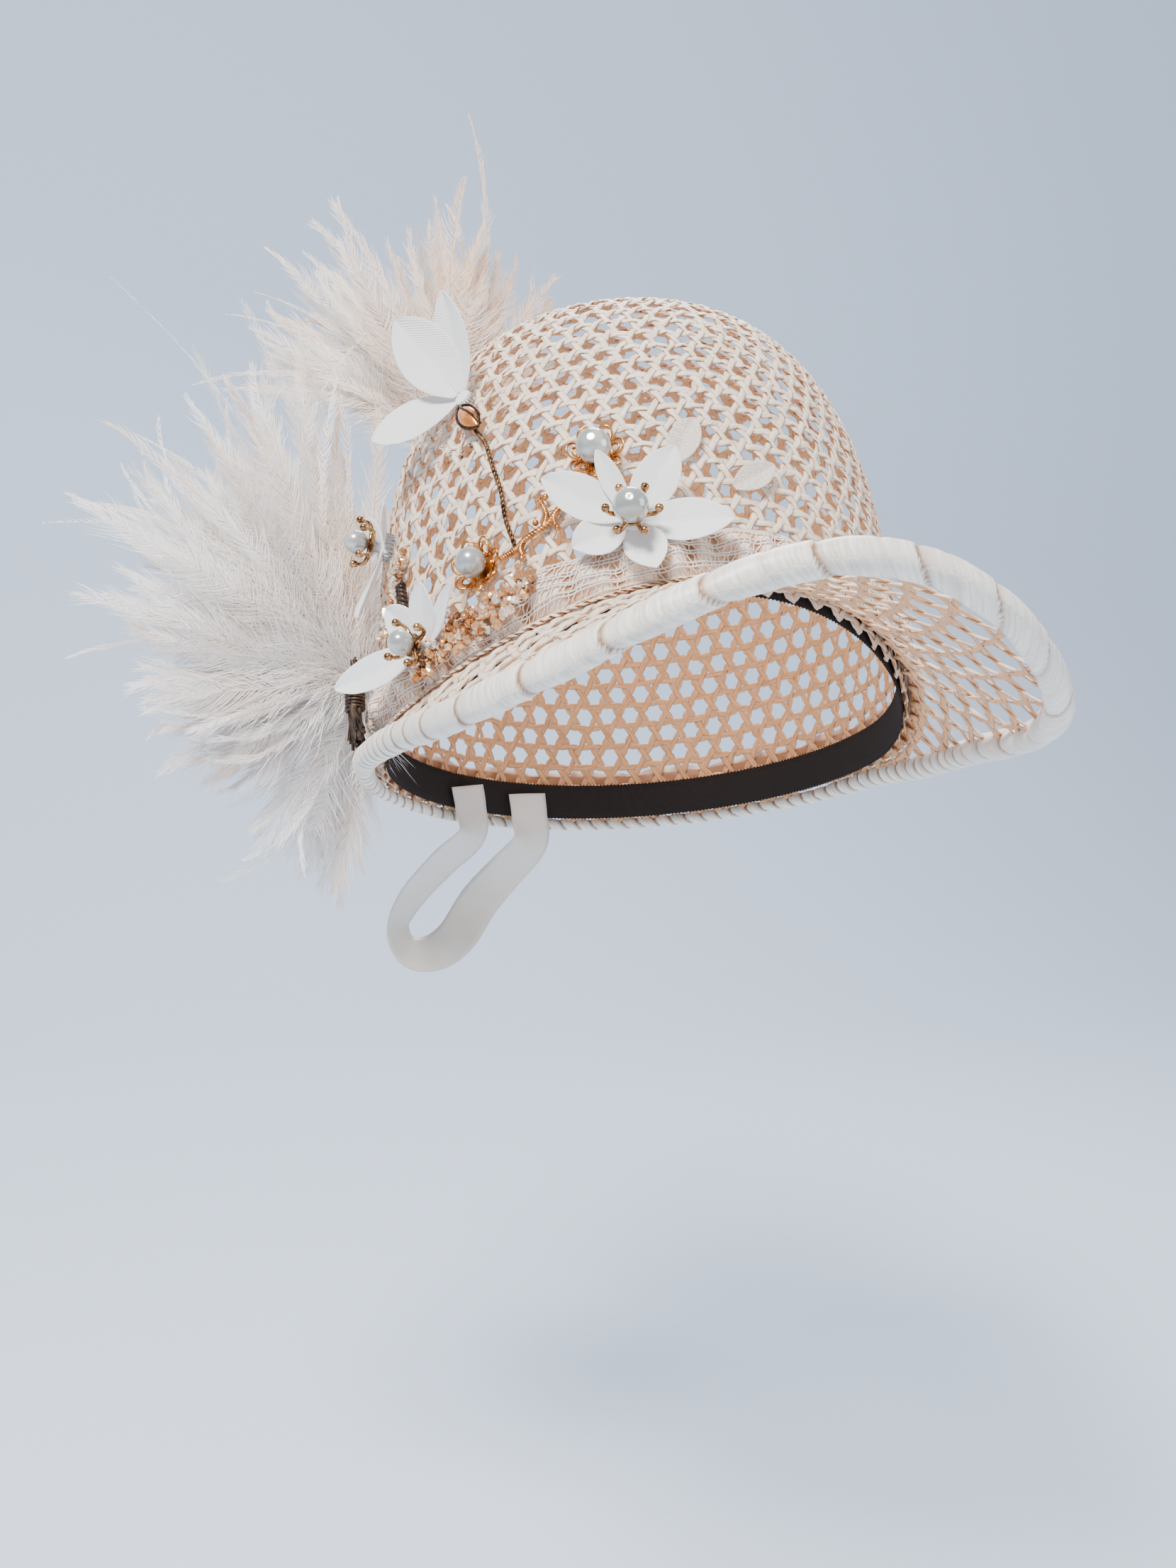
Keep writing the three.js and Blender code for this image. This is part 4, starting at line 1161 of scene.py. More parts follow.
class STRAWCAP_OT_flowers(bpy.types.Operator):
    """Make the three cloth flowers with their clawed settings and pearls"""

    bl_idname = "straw_cap.flowers"
    bl_label = "Flowers"

    def execute(self, context):
        flowers = settings().flowers
        cloth = cloth_finish("petal cloth", flowers.petal_colour, shade(flowers.petal_colour, 0.93), 900,
                             Sheen_Weight=0.15)
        bronze = metal_finish("aged gold", (0.72, 0.4, 0.18), (0.08, 0.032, 0.014), (0.14, 0.34))
        pearl = pearl_finish("pearl", flowers.pearl_colour)
        for name, azimuth, height, lift, stem, stem_radius, radius, claws, start, petals in FLOWERS:
            seat = seat_axes(azimuth, height, lift)
            parts = [stem_piece(f"{name}_stem", seat, stem_radius, stem),
                     stem_piece(f"{name}_post", seat, 2.2, stem + SETTING_POST - 0.1)]
            for k, (turn, rise, length, width) in enumerate(petals):
                parts.append(petal_piece(f"{name}_petal_{k}", seat, stem - 1.5 + 0.22 * (k % 3), turn,
                                         rise, length, width, 0.2 + 0.03 * (k % 3), 0.5))
            dressed(joined(f"{name}_cloth", parts), cloth, [f"{name}_petals"])
            foot = stem + SETTING_POST + GAP
            metal = [plate_piece(f"{name}_plate", seat, 3.6, foot, 1.0)]
            metal += claw_pieces(name, seat, foot, claws, start)
            dressed(joined(f"{name}_claws", metal), bronze, [f"{name}_setting"])
            ball = ball_piece(f"{name}_bead", (0, 0, foot + 1 + GAP + radius), (radius,) * 3, seat, 36, 22,
                              drilled)
            dressed(ball, pearl, [f"{name}_pearl"])
        return {"FINISHED"}


class STRAWCAP_OT_filigree(bpy.types.Operator):
    """Bend the gold wire loops round the two small pearls"""

    bl_idname = "straw_cap.filigree"
    bl_label = "Filigree pearls"

    def execute(self, context):
        gold = metal_finish("orange gold wire", (0.95, 0.5, 0.16), (0.45, 0.15, 0.03), (0.16, 0.34))
        pearl = pearl_finish("small pearl", settings().flowers.pearl_colour)
        for name, azimuth, height, radius in (("upper", -25.6, 0.435, 5.25),
                                              ("middle", -50.3, 0.245, 4.65)):
            seat = seat_axes(azimuth, height, GAP)
            parts = [plate_piece(f"{name}_cup", seat, 4.9, 0.0, 1.5)]
            ring = np.radians(np.arange(0, 360, 12))
            for k in range(7):
                turn = 360 * k / 7 + 12
                for size, reach in ((1.0, 6.3), (0.62, 5.7)):
                    loop = np.stack([2.9 * size * np.cos(ring) * 0.84, 2.5 * size * np.sin(ring),
                                     2.9 * size * np.cos(ring) * 0.54], -1)
                    loop = loop + (reach, 0, 1.2 + 1.7 * size)
                    parts.append(wire_piece(f"{name}_loop_{k}_{reach}", on_seat(turned(loop, turn), seat),
                                            0.4, closed=True, resolution=1))
                grain = turned((5.0, 0, 1.7), turn + 26)
                parts.append(ball_piece(f"{name}_grain_{k}", grain, (0.75,) * 3, seat, 10, 6))
            dressed(joined(f"{name}_wire_loops", parts), gold, [f"{name}_filigree"])
            ball = ball_piece(f"{name}_bead", (0, 0, 1.6 + GAP + radius), (radius,) * 3, seat,
                              36, 22, drilled)
            dressed(ball, pearl, [f"{name}_pearl"])
        return {"FINISHED"}


class STRAWCAP_OT_leaf_spray(bpy.types.Operator):
    """Make the three tall cloth leaves, their gold bead and the small shimmering leaves"""

    bl_idname = "straw_cap.leaf_spray"
    bl_label = "Leaf spray"

    def execute(self, context):
        cloth = cloth_finish("twill leaf", (0.86, 0.85, 0.83), (0.76, 0.74, 0.71), 620, 0.5)
        seat = seat_axes(-58, 0.665, GAP)
        parts = [stem_piece("spray_stem", seat, 3, 3.2)]
        for k, (turn, rise, length, width) in enumerate(((125, 30, 34, 20), (88, 27, 33, 15),
                                                         (201, 10, 31, 20))):
            parts.append(petal_piece(f"spray_leaf_{k}", seat, 2.2, turn, rise, length, width, 0.24, 0.6))
        dressed(joined("spray_leaves", parts), cloth, ["spray_petals"])
        self.gold_bead()
        organza = Finish("organza", Roughness=0.35, Sheen_Weight=0.4, Specular_IOR_Level=0.6)
        net = organza.node("TexVoronoi", {"Vector": organza.place(), "Scale": 1900}).outputs["Distance"]
        organza.colour(organza.ramp(net, (0.1, (0.95, 0.92, 0.88)), (0.5, (0.62, 0.52, 0.44))))
        organza.bump(net, 0.7, 0.0003)
        for index, (azimuth, height, turn, length, width) in enumerate(((-11, 0.41, 62, 17, 10),
                                                                        (1, 0.36, 30, 16, 9))):
            leaf_seat = seat_axes(azimuth, height, 0.8)
            leaf = petal_piece(f"shimmer_leaf_{index + 1}", leaf_seat, 0, turn, 0, length, width, 0.16)
            points = coordinates(leaf)
            shift = to_world(on_seat(turned((-PETAL_ROOT, 0, 0), turn), leaf_seat)) - to_world(leaf_seat[0])
            set_coordinates(leaf, points + shift)
            dressed(leaf, organza.material, [f"organza_leaf_{index + 1}"])
        return {"FINISHED"}

    def gold_bead(self):
        """A pointed glass bead with a dark rim along both sides and a dark ridge wire along its top."""
        seat = seat_axes(-54.5, 0.6, 2.9)
        lean = -48

        def taper(along):
            return 1 - np.abs(along) ** 2.4

        def pointed(points):
            pull = taper(points[:, 0])[:, None]
            return points * np.hstack([np.ones((len(points), 1)), 0.35 + 0.65 * pull, 0.35 + 0.65 * pull])

        bpy.ops.object.select_all(action="DESELECT")
        bpy.ops.mesh.primitive_uv_sphere_add(segments=28, ring_count=18, radius=1)
        body = bpy.context.object
        shaped = pointed(coordinates(body)[:, [2, 0, 1]]) * (7.6, 3.3, 2.5)
        set_coordinates(body, to_world(on_seat(turned(shaped, lean), seat)))
        tidy_normals(body)
        amber = Finish("amber bead", Metallic=0.55, Roughness=0.2, Coat_Weight=0.6)
        glow = amber.noise(amber.place(), 260, 3)
        amber.colour(amber.ramp(glow, (0.35, (0.5, 0.13, 0.02)), (0.6, (0.9, 0.34, 0.07)),
                                (0.8, (1.0, 0.6, 0.25))))
        amber.roughness(glow, 0.14, 0.3)
        body.name = body.data.name = "amber_bead"
        dressed(body, amber.material, ["gold_leaf_bead"])
        along = np.linspace(-1, 1, 24)
        rims = []
        for side in (-1, 1):
            edge = np.stack([7.8 * along, side * 3.4 * taper(along) + 0.1 * side, 0.5 + 0 * along], -1)
            rims.append(wire_piece(f"bead_rim_{side + 1}", on_seat(turned(edge, lean), seat), 0.5))
        ridge = np.stack([7.6 * along, 1.2 + 0.5 * np.sin(3 * along),
                          2.45 * taper(along) ** 0.8 + 0.1], -1)
        rims.append(wire_piece("bead_ridge", on_seat(turned(ridge, lean), seat), 0.42))
        dark = metal_finish("dark bronze rim", (0.16, 0.09, 0.05), (0.02, 0.012, 0.01), (0.25, 0.5))
        dressed(joined("bead_rim", rims), dark)


def twisted(points, radius, turns, count, strands=2):
    """Centre lines of wires that are twisted round one another along a line."""
    middle = curve_through(points, count)
    ahead = unit(np.gradient(middle, axis=0))
    side = unit(np.cross(ahead, crown_normal(middle)))
    other = np.cross(ahead, side)
    angle = np.linspace(0, 2 * np.pi * turns, count)[:, None]
    for k in range(strands):
        phase = angle + 2 * np.pi * k / strands
        yield middle + radius * (side * np.cos(phase) + other * np.sin(phase))


class STRAWCAP_OT_wires(bpy.types.Operator):
    """Twist the dark wire below the leaves and the gold branch with its twigs"""

    bl_idname = "straw_cap.wires"
    bl_label = "Twisted wires"

    def execute(self, context):
        dark = metal_finish("dark twisted wire", (0.3, 0.16, 0.07), (0.03, 0.018, 0.012), (0.3, 0.55))
        gold = metal_finish("copper gold wire", (0.85, 0.42, 0.15), (0.35, 0.12, 0.03), (0.2, 0.4))
        route = ((-53.4, 0.575), (-51.2, 0.545), (-49.6, 0.52), (-47.6, 0.46), (-45.6, 0.4), (-44.6, 0.335),
                 (-42.6, 0.27))
        stem = np.array([crown_point(a, h, 1.4) for a, h in route])
        pieces = [wire_piece(f"stem_wire_{k}", line, 0.42, resolution=1)
                  for k, line in enumerate(twisted(stem, 0.42, 17, 130))]
        dressed(joined("leaf_stem_wire", pieces), dark, ["spray_wire"])
        routes = (
            (((-29.5, 0.35), (-33, 0.335), (-36, 0.302), (-40.3, 0.28), (-42.6, 0.262), (-46, 0.25)), 12),
            (((-36.6, 0.297), (-36.0, 0.325), (-37.4, 0.36)), 5),
            (((-40.5, 0.282), (-41.5, 0.262), (-41.0, 0.245)), 4),
            (((-33.5, 0.33), (-34.5, 0.315), (-34.2, 0.295)), 4),
        )
        pieces = []
        for index, (places, turns) in enumerate(routes):
            line = np.array([crown_point(a, h, 1.6) for a, h in places])
            for k, strand in enumerate(twisted(line, 0.55, turns, 26 * turns // 3, 3)):
                pieces.append(wire_piece(f"branch_{index}_{k}", strand, 0.46, resolution=1))
        for k, (a, h) in enumerate(((-36.0, 0.362), (-41.2, 0.24), (-33.8, 0.29), (-38.2, 0.31))):
            pieces.append(ball_piece(f"branch_knot_{k}", crown_point(a, h, 1.7), (1.0, 1.0, 1.0),
                                     None, 10, 7))
        dressed(joined("gold_branch", pieces), gold, ["wire_branch"])
        return {"FINISHED"}


class STRAWCAP_OT_beads(bpy.types.Operator):
    """Strew the small faceted beads over the band and down the side"""

    bl_idname = "straw_cap.beads"
    bl_label = "Beads"

    def execute(self, context):
        rng = np.random.default_rng(53)
        finish = bead_finish("foiled glass bead")
        count = settings().flowers.beads_on_band
        along = rng.uniform(0, 1, count)
        azimuth = -64.5 + 27 * along
        above = 4 + 6.5 * along + rng.normal(0, 2.6, count)
        lift = rng.uniform(BAND_FACE - 0.2, BAND_FACE + 3.6, count)
        height = (head_line(azimuth) + np.clip(above, 1, 17)) / HEIGHT
        points = crown_point(azimuth, height, lift)
        radius = rng.uniform(0.7, 1.75, count)
        self.strewn("band_bead_cluster", points, radius, rng, finish, "band_beads")
        count = 64
        along = rng.uniform(0, 1, count)
        azimuth = -74.5 - 9.5 * along + rng.normal(0, 1.2, count)
        height = 0.365 - 0.16 * along
        points = crown_point(azimuth, height, rng.uniform(0.6, 3.4, count))
        self.strewn("side_bead_string", points, rng.uniform(0.7, 1.5, count), rng, finish, "crown_beads")
        return {"FINISHED"}

    def strewn(self, name, points, radius, rng, finish, node):
        bpy.ops.object.select_all(action="DESELECT")
        bpy.ops.mesh.primitive_ico_sphere_add(subdivisions=1, radius=1)
        pattern = bpy.context.object
        corners = coordinates(pattern)
        sides = [list(face.vertices) for face in pattern.data.polygons]
        bpy.data.objects.remove(pattern)
        all_points, faces, tint = [], [], []
        for k, (point, size) in enumerate(zip(points, radius)):
            spin = np.linalg.qr(rng.normal(size=(3, 3)))[0]
            spin *= np.sign(np.linalg.det(spin))
            stretch = np.array([1, 1, rng.uniform(0.7, 1.3)])
            all_points.append((corners * stretch * size) @ spin + point)
            faces += [[i + k * len(corners) for i in side] for side in sides]
            tint.append(np.full(len(corners), rng.beta(1.3, 1.1)))
        piece = mesh_piece(name, to_world(np.vstack(all_points)), faces)
        give_values(piece, "tint", np.concatenate(tint))
        dressed(piece, finish, [node], smooth=False)


class STRAWCAP_OT_braid_and_quills(bpy.types.Operator):
    """Plait the dark braid and bind the quill butts"""

    bl_idname = "straw_cap.braid_and_quills"
    bl_label = "Braid and quills"

    def execute(self, context):
        dark = metal_finish("dark bronze thread", (0.09, 0.05, 0.03), (0.008, 0.006, 0.005),
                            (0.3, 0.6), 0.5)
        route = np.array([crown_point(a, h, 2.2) for a, h in ((-74.3, 0.29), (-73.6, 0.255), (-72.6, 0.21),
                                                              (-72.8, 0.17))])
        middle = curve_through(route, 60)
        ahead = unit(np.gradient(middle, axis=0))
        out = crown_normal(middle)
        side = np.cross(ahead, out)
        t = np.linspace(0, 2 * np.pi * 3.5, 60)[:, None]
        pieces = []
        for k in range(3):
            phase = t + 2 * np.pi * k / 3
            line = middle + 1.3 * side * np.sin(phase) + 0.75 * out * np.sin(2 * phase)
            pieces.append(wire_piece(f"plait_{k}", line, 0.8, resolution=1))
        dressed(joined("plaited_braid", pieces), dark, ["dark_braid"])
        seat = seat_axes(-89, 0.115, 9.3)
        rng = np.random.default_rng(67)
        pieces = []
        for k in range(26):
            turn = rng.uniform(-26, 26)
            low, high = rng.uniform(17, 22), rng.uniform(6, 9)
            line = np.array([(rng.uniform(-1, 1), high, rng.uniform(-1, 1)), (0, 0, rng.uniform(-0.9, 0.9)),
                             (0.12 * turn, -low * 0.5, rng.uniform(-1.4, 1.6)),
                             (0.36 * turn, -low, rng.uniform(-1.6, 1.4))])
            line[:, 0] += rng.uniform(-1.6, 1.6)
            pieces.append(wire_piece(f"quill_{k}", on_seat(curve_through(line, 12), seat),
                                     rng.uniform(0.55, 0.95),
                                     resolution=1, taper=np.linspace(0.6, 1, 12)))
        angle = np.linspace(0, 2 * np.pi * 7, 120)
        coil = np.stack([3.4 * np.cos(angle), -9 + 8 * np.linspace(0, 1, 120), 2.9 * np.sin(angle)], -1)
        pieces.append(wire_piece("quill_binding", on_seat(coil, seat), 0.5, resolution=1))
        dressed(joined("bound_quill_butts", pieces), dark, ["bound_quills"])
        return {"FINISHED"}


# Feathers
# Sizes of a kind: share of the length, barb against the plume's barb, angle of the barbs at the
# foot and how far it closes, flutter out of the vane, spread of curl and tilt, hook of the tip,
# barbs on each side and bare share of the foot
FEATHER_KINDS = {
    "hackle": {"size": (0.74, 1.0), "barb": 0.95, "open": 52, "close": 34, "flutter": 0.2,
               "curl": 0.2, "tilt": 24, "hook": 0.14, "barbs": 100, "bare": 0.06},
    "fluff": {"size": (0.36, 0.74), "barb": 1.4, "open": 72, "close": 26, "flutter": 0.5,
              "curl": 0.35, "tilt": 60, "hook": 0.0, "barbs": 80, "bare": 0.02},
    "wisp": {"size": (0.86, 1.04), "barb": 0.45, "open": 36, "close": 18, "flutter": 0.18,
             "curl": 0.42, "tilt": 20, "hook": 0.6, "barbs": 72, "bare": 0.2},
}


def feather_shaft(feather, t):
    """Points of the shaft at shares t of its length."""
    t = t[:, None]
    curl, hook = feather["curl"], feather["hook"]
    bend = feather["side"] * (curl * t**2 + hook * t**4) / 2 + feather["face"] * feather["lean"] * t**2 / 2
    run = feather["ahead"] * (t - 0.16 * curl**2 * t**3 - 0.1 * hook**2 * t**5)
    sink = np.array([0, 0, feather["droop"]]) * t**2
    return feather["root"] + feather["length"] * (run + bend - sink)


def feather_barbs(feather, hand, barb_width, rng):
    """Rows of barb corners on one side, seven for each barb, and the barbs' tint."""
    count = feather["barbs"]
    t = np.sort(np.linspace(feather["bare"], 0.995, count) + rng.normal(0, 0.003, count))
    t = np.clip(t, 0.02, 0.999)
    line = feather_shaft(feather, t)
    along = unit(feather_shaft(feather, np.minimum(t + 0.01, 1)) - feather_shaft(feather, t - 0.01))
    across = unit(np.cross(feather["face"], along)) * hand
    knots = np.arange(0, count + 6, 6)
    clump = np.interp(np.arange(count), knots, rng.normal(0, 1, len(knots)))
    open_angle = np.radians(feather["open"] - feather["close"] * t**0.8 + 8 * clump)
    size = feather["barb"] * np.sin(np.pi * (0.1 + 0.88 * t)) ** 0.55
    size = size * rng.uniform(0.6, 1.1, count) * (1 + 0.18 * clump)
    lift = rng.normal(0, feather["flutter"], count) + 0.1 * hand
    rows, here = [], line
    for j in range(3):
        angle = open_angle * (1 - 0.26 * j)
        direction = along * np.cos(angle)[:, None] + across * np.sin(angle)[:, None]
        direction = unit(direction + feather["face"] * (lift * (0.2 + 0.5 * j))[:, None])
        flat = unit(np.cross(direction, feather["face"])) * barb_width * (0.5, 0.42, 0.28)[j]
        rows += [here + flat, here - flat]
        here = here + direction * (size / 3)[:, None]
    rows.append(here)
    tint = feather["warm"] + rng.normal(0, 0.05, count) + feather["tip"] * t**4 * 0.6
    return np.stack(rows, 1).reshape(-1, 3), np.repeat(np.clip(tint, 0, 1), 7)


def plume_mesh(name, feathers, barb_width, seed):
    """Feathers of separate barbs on curved shafts, in one mesh."""
    rng = np.random.default_rng(seed)
    points, faces, tint, start = [], [], [], 0
    shares = np.linspace(0, 1, 11)
    for feather in feathers:
        ahead = unit(feather["ahead"])
        side = unit(np.cross(unit(feather["face"]), ahead))
        feather = dict(feather, ahead=ahead, side=side, face=np.cross(ahead, side))
        line = feather_shaft(feather, shares)
        along = unit(np.gradient(line, axis=0))
        radius = (0.42 * (1 - 0.9 * shares) * feather["stout"])[:, None]
        across = unit(np.cross(along, feather["face"]))
        over = np.cross(across, along)
        ring = np.stack([line + across * radius, line + (over * 0.8 - across * 0.5) * radius,
                         line - (over * 0.8 + across * 0.5) * radius], 1)
        points.append(ring.reshape(-1, 3))
        tint.append(np.repeat(np.clip(feather["warm"] + 0.3 + feather["tip"] * shares**3, 0, 1), 3))
        for i in range(len(shares) - 1):
            for k in range(3):
                k_next = (k + 1) % 3
                faces.append((start + 3 * i + k, start + 3 * i + k_next, start + 3 * i + 3 + k_next,
                              start + 3 * i + 3 + k))
        start += 3 * len(shares)
        for hand in (-1, 1):
            rows, shade_of = feather_barbs(feather, hand, barb_width, rng)
            points.append(rows)
            tint.append(shade_of)
            base = start + 7 * np.arange(feather["barbs"])[:, None]
            for corners in ((0, 1, 3, 2), (2, 3, 5, 4), (4, 5, 6)):
                faces.extend((base + corners).tolist())
            start += len(rows)
    piece = mesh_piece(name, to_world(np.vstack(points)), faces)
    give_values(piece, "tint", np.concatenate(tint))
    return piece


def plume_feathers(root, locks, layers, length, count, barb, seed):
    """Feathers spread over a fan whose rows are up, reach, curl, back, share and warm."""
    rng = np.random.default_rng(seed)
    table = np.array(sorted(locks), float)
    up = table[:, 0]
    angles = np.linspace(up[0], up[-1], 200)
    weight = np.interp(angles, up, table[:, 4])
    chance = np.cumsum(weight) / weight.sum()
    found = []
    for _ in range(count):
        kind = FEATHER_KINDS[rng.choice(("hackle", "fluff", "wisp"), p=(0.5, 0.34, 0.16))]
        angle = np.interp(rng.uniform(0, 1), chance, angles) + rng.normal(0, 2.5)
        reach, curl, back, _, warm = (np.interp(angle, up, column) for column in table.T[1:])
        back = back + rng.uniform(*layers)
        size = rng.uniform(*kind["size"])
        steep = math.radians(angle)
        ahead = np.array([-math.cos(steep), math.tan(math.radians(back)), math.sin(steep)])
        tilt = math.radians(rng.normal(0, kind["tilt"]))
        across = unit(np.cross((0, 1, 0), ahead))
        found.append({
            "root": root + rng.normal(0, 1.6, 3), "ahead": ahead,
            "face": np.array([0, -math.cos(tilt), 0]) + across * math.sin(tilt),
            "length": length * reach * size, "curl": -2 * curl + rng.normal(0, kind["curl"]),
            "lean": rng.normal(0, 0.12), "droop": rng.uniform(0, 0.1) * max(math.cos(steep), 0),
            "hook": kind["hook"] * rng.choice((-1, 1)) * rng.uniform(0.4, 1),
            "barb": barb * kind["barb"] * rng.uniform(0.75, 1.2), "open": kind["open"],
            "close": kind["close"], "flutter": kind["flutter"], "barbs": kind["barbs"],
            "bare": kind["bare"], "warm": float(np.clip(rng.normal(warm, 0.07), 0, 0.8)),
            "tip": 0.5 if rng.uniform() < 0.08 else 0.0, "stout": rng.uniform(0.6, 1.1),
        })
    return found


# Columns: up in degrees from the wearer's right, reach, curl, back in degrees, share and warmth
SIDE_LOCKS = (
    (98, 0.86, 0.1, 16, 0.7, 0.4), (90, 0.95, 0.06, 10, 0.9, 0.34), (80, 1, -0.03, 3, 0.95, 0.2),
    (68, 0.95, -0.06, 0, 1, 0.08), (54, 0.87, -0.04, 0, 1.1, 0.05), (40, 0.8, 0.04, 0, 1.1, 0.03),
    (22, 0.7, 0.08, 0, 1, 0.04), (4, 0.6, 0.1, 0, 0.8, 0.08), (-16, 0.5, 0.08, 2, 0.7, 0.05),
    (-40, 0.44, 0.06, 6, 0.5, 0.03), (-62, 0.48, -0.04, 16, 0.45, 0.03), (-82, 0.6, -0.04, 32, 0.5, 0.08),
    (-92, 0.56, 0, 34, 0.3, 0.1),
)
TOP_LOCKS = (
    (128, 0.5, 0.1, 12, 0.5, 0.5), (112, 0.66, 0.06, 4, 1, 0.5), (96, 0.74, 0.06, 0, 1, 0.42),
    (78, 0.76, -0.04, 0, 1, 0.3), (58, 0.76, -0.06, 0, 1, 0.2), (36, 0.7, -0.04, 4, 0.9, 0.12),
)


class STRAWCAP_OT_plumes(bpy.types.Operator):
    """Set the white side plume and the warmer plume above it"""

    bl_idname = "straw_cap.plumes"
    bl_label = "Plumes"

    def execute(self, context):
        feathers = settings().feathers
        width = feathers.barb_width * 1000
        root = seat_axes(-103, 0.185, 3.7)[0]
        made = plume_feathers(root, SIDE_LOCKS, (-4, 18), 148, feathers.side_feathers, 17, 71)
        piece = plume_mesh("white_plume", made, width, 73)
        finish = feather_finish("white feather", feathers.feather_colour, feathers.warm_colour)
        dressed(piece, finish, ["side_plume"])
        root = seat_axes(-136, 0.84, 2.6)[0]
        made = plume_feathers(root, TOP_LOCKS, (2, 20), 148, feathers.top_feathers, 16, 79)
        steep = math.radians(102)
        tall = dict(made[0], root=root, ahead=np.array([-math.cos(steep), 0.1, math.sin(steep)]),
                    face=np.array([0.2, -1, 0.0]), length=153.0, curl=0.02, hook=0.24, lean=0.0, droop=0.0,
                    barb=8.0, warm=0.25, tip=0.3, stout=1.0, barbs=100, bare=0.3, open=40, close=24,
                    flutter=0.12)
        piece = plume_mesh("beige_plume", made + [tall], width, 83)
        finish = feather_finish("beige feather", feathers.feather_colour, feathers.warm_colour)
        dressed(piece, finish, ["top_plume"])
        return {"FINISHED"}


TIE_ROUTE = (
    (0, 1.2, 0, -4, 32), (0, -1.2, 0, 4, 32), (0, -4.8, -2, 14, 32),
    (0, -3, -11, 24, 30), (0, 0, -20, 37, 36),
    (0, 0, -25, 48, 50), (0, 0, -21, 57, 50), (0, 0, -12, 58, 40), (0, 0, -3, 52, 25), (-8, 0, -4, 38, 8),
    (-14, -2, -3, 26, -6), (-19, -4.8, -1, 14, -12), (-19, -1.4, 0, 4, -12), (-19, 1.3, 0, -4, -12),
)


class STRAWCAP_OT_ribbon_tie(bpy.types.Operator):
    """Hang the satin ribbon's loop behind"""

    bl_idname = "straw_cap.ribbon_tie"
    bl_label = "Ribbon tie"

    def execute(self, context):
        depth = WALL + GAP + 1 + 1.9 + 0.5
        width = 15.0
        places = []
        for turn, out, right, down, _ in TIE_ROUTE:
            azimuth = -149 + turn
            rim = unit(crown_point(azimuth + 1, 0) - crown_point(azimuth - 1, 0))
            away = np.array([rim[1], -rim[0], 0.0])
            point = crown_point(azimuth, 0)
            scale = np.array([(HALF_WIDTH - depth) / HALF_WIDTH, (HALF_LENGTH - depth) / HALF_LENGTH, 1])
            places.append(to_world(point * scale) * 1000 + away * out + np.array([right, 0, -down]))
        count = 90
        middle = curve_through(np.array(places), count + 1)
        twist = np.radians(np.interp(np.linspace(0, len(TIE_ROUTE) - 1, count + 1),
                                     np.arange(len(TIE_ROUTE)),
                                     [row[4] for row in TIE_ROUTE]))
        along = unit(np.gradient(middle, axis=0))
        level = unit(np.cross(along, (0, 1, 0)))
        rough = level * np.cos(twist)[:, None] + np.array([0, 1, 0]) * np.sin(twist)[:, None]
        face = unit(np.cross(along, rough))
        across = np.cross(face, along)
        bpy.ops.object.select_all(action="DESELECT")
        bpy.ops.mesh.primitive_grid_add(x_subdivisions=8, y_subdivisions=count, size=2)
        piece = bpy.context.object
        piece.name = piece.data.name = "satin_tie"
        flat = coordinates(piece)
        row = np.round((flat[:, 1] + 1) / 2 * count).astype(int)
        sway = 0.35 * np.sin(flat[:, 0] * 2 + row * 0.16)
        points = middle[row] + across[row] * (flat[:, 0] * width / 2)[:, None] + face[row] * sway[:, None]
        set_coordinates(piece, points * 0.001)
        give_values(piece, "cloth", np.stack([flat[:, 0] * width / 2, row * 1.6, 0 * sway], -1))
        apply_modifier(piece, "SOLIDIFY", thickness=0.0003, offset=0)
        finish = Finish("satin ribbon", Roughness=0.36, Sheen_Weight=0.2, Specular_IOR_Level=0.55)
        threads = finish.node("TexWave", {"Vector": finish.attribute("cloth"), "Scale": 1.5,
                                          "Distortion": 0.4},
                              bands_direction="X").outputs["Fac"]
        cloud = finish.noise(finish.place(), 70, 2)
        finish.colour(finish.mix(cloud, (0.62, 0.59, 0.53), (0.78, 0.74, 0.67)))
        finish.bump(threads, 0.12, 0.0002)
        dressed(piece, finish.material, ["ribbon_tie"])
        return {"FINISHED"}


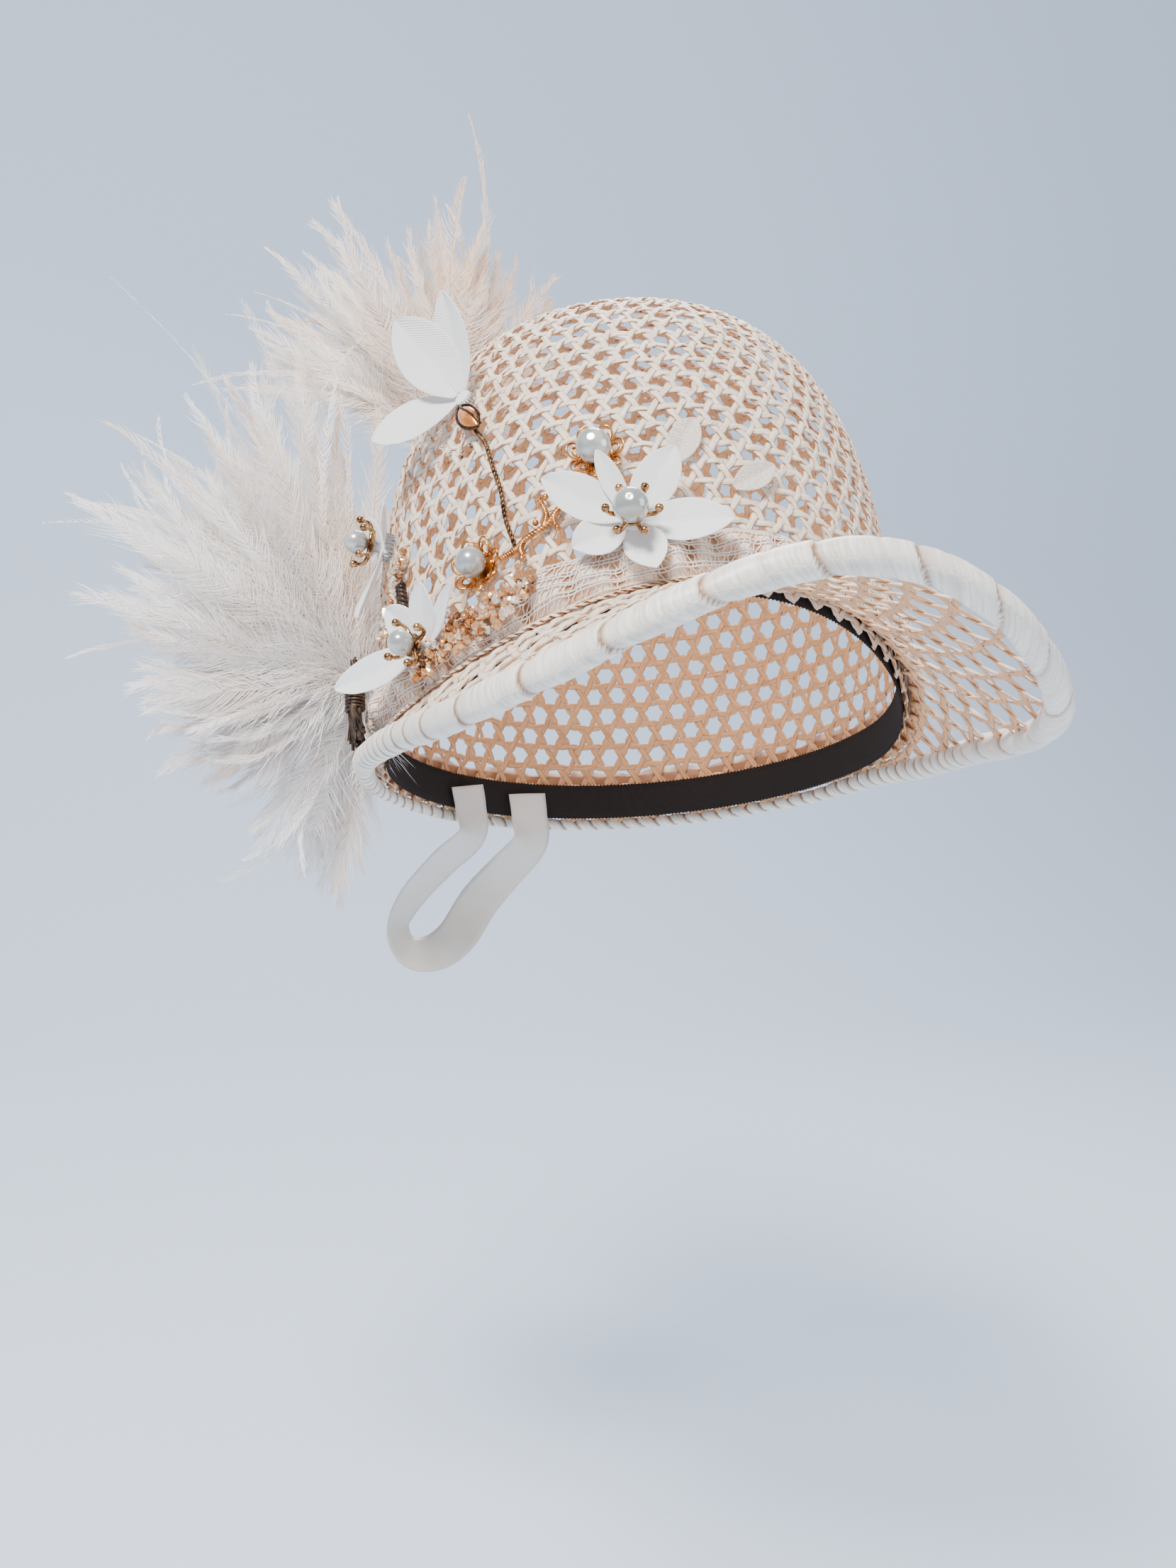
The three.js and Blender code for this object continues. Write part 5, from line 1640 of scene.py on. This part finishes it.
class STRAWCAP_OT_stage(bpy.types.Operator):
    """Set the camera, the floor and the lights"""

    bl_idname = "straw_cap.stage"
    bl_label = "Stage"

    def execute(self, context):
        stage = settings().stage
        camera = bpy.data.objects.new("camera", bpy.data.cameras.new("camera"))
        context.scene.collection.objects.link(camera)
        right, up = Vector((0.9551, -0.2930, 0.0432)), Vector((-0.0160, 0.0946, 0.9954))
        back = right.cross(up).normalized()
        camera.matrix_world = Matrix.Translation((-0.1935, -0.5624, 0.037)) @ Matrix(
            (right, up, back)).transposed().to_4x4()
        camera.data.lens = 40.69
        camera.data.clip_start = 0.01
        context.scene.camera = camera
        bpy.ops.object.select_all(action="DESELECT")
        bpy.ops.mesh.primitive_grid_add(x_subdivisions=4, y_subdivisions=60, size=2)
        floor = context.object
        floor.name = "floor"
        flat = coordinates(floor)
        along = (flat[:, 1] + 1) / 2 * 7.0 - 2.6
        bend = np.clip((along - 1.0) / 1.2, 0, 1) * np.pi / 2
        beyond = np.maximum(along - 2.2, 0)
        y = np.minimum(along, 1.0) + 0.764 * np.sin(bend)
        z = 0.764 * (1 - np.cos(bend)) + beyond
        set_coordinates(floor, np.stack([flat[:, 0] * 3.2, y, z + stage.floor_height], -1))
        floor.data.shade_smooth()
        paint = Finish("pale floor", Roughness=0.9)
        grain = paint.noise(paint.place(), 220, 3)
        paint.colour(paint.mix(grain, shade(stage.floor_colour, 0.98), shade(stage.floor_colour, 1.02)))
        paint.bump(grain, 0.15, 0.001)
        floor.data.materials.append(paint.material)
        world = bpy.data.worlds.new("soft room")
        context.scene.world = world
        world.use_nodes = True
        background = world.node_tree.nodes["Background"]
        background.inputs["Color"].default_value = (0.78, 0.86, 1.0, 1)
        background.inputs["Strength"].default_value = 0.64
        for name, place, size, strength, tone in (
            ("key", (-0.75, -0.75, 1.25), 0.45, stage.key_power, (1.0, 0.98, 0.95)),
            ("fill", (1.1, -0.8, 0.4), 0.9, stage.key_power * 0.16, (0.93, 0.96, 1.0)),
            ("back", (0.3, 0.9, 1.1), 0.6, stage.key_power * 0.3, (1.0, 1.0, 1.0)),
        ):
            light = bpy.data.lights.new(name, "AREA")
            light.size = size
            light.energy = strength
            light.color = tone
            lamp = bpy.data.objects.new(name, light)
            lamp.location = place
            lamp.rotation_euler = (Vector((0, 0, 0.05)) - Vector(place)).to_track_quat("-Z", "Y").to_euler()
            context.scene.collection.objects.link(lamp)
        return {"FINISHED"}


class StrawCapSettings(bpy.types.PropertyGroup):
    """All sizes and colours of the straw cap"""

    net: PointerProperty(type=NetSettings)
    edge: PointerProperty(type=EdgeSettings)
    flowers: PointerProperty(type=FlowerSettings)
    feathers: PointerProperty(type=FeatherSettings)
    stage: PointerProperty(type=StageSettings)


OPERATORS = (
    STRAWCAP_OT_stage, STRAWCAP_OT_crown_net, STRAWCAP_OT_brim_net, STRAWCAP_OT_edge_binding,
    STRAWCAP_OT_head_ribbon, STRAWCAP_OT_lace_band, STRAWCAP_OT_flowers, STRAWCAP_OT_filigree,
    STRAWCAP_OT_leaf_spray, STRAWCAP_OT_wires, STRAWCAP_OT_beads, STRAWCAP_OT_braid_and_quills,
    STRAWCAP_OT_plumes, STRAWCAP_OT_ribbon_tie,
)


class STRAWCAP_PT_panel(bpy.types.Panel):
    """Sizes, colours and the pieces in the order they are made"""

    bl_idname = "STRAWCAP_PT_panel"
    bl_label = "Straw Cap"
    bl_space_type = "VIEW_3D"
    bl_region_type = "UI"
    bl_category = "Straw Cap"

    def draw(self, context):
        cap = context.scene.straw_cap
        for group in (cap.net, cap.edge, cap.flowers, cap.feathers, cap.stage):
            box = self.layout.box()
            for name in group.__annotations__:
                box.prop(group, name)
        for operator in OPERATORS:
            self.layout.operator(operator.bl_idname)


CLASSES = (NetSettings, EdgeSettings, FlowerSettings, FeatherSettings, StageSettings, StrawCapSettings,
           *OPERATORS, STRAWCAP_PT_panel)


def register():
    for item in CLASSES:
        bpy.utils.register_class(item)
    bpy.types.Scene.straw_cap = PointerProperty(type=StrawCapSettings)


def unregister():
    del bpy.types.Scene.straw_cap
    for item in reversed(CLASSES):
        bpy.utils.unregister_class(item)


def main():
    register()
    for operator in OPERATORS:
        group, name = operator.bl_idname.split(".")
        getattr(getattr(bpy.ops, group), name)()


if __name__ == "__main__":
    main()
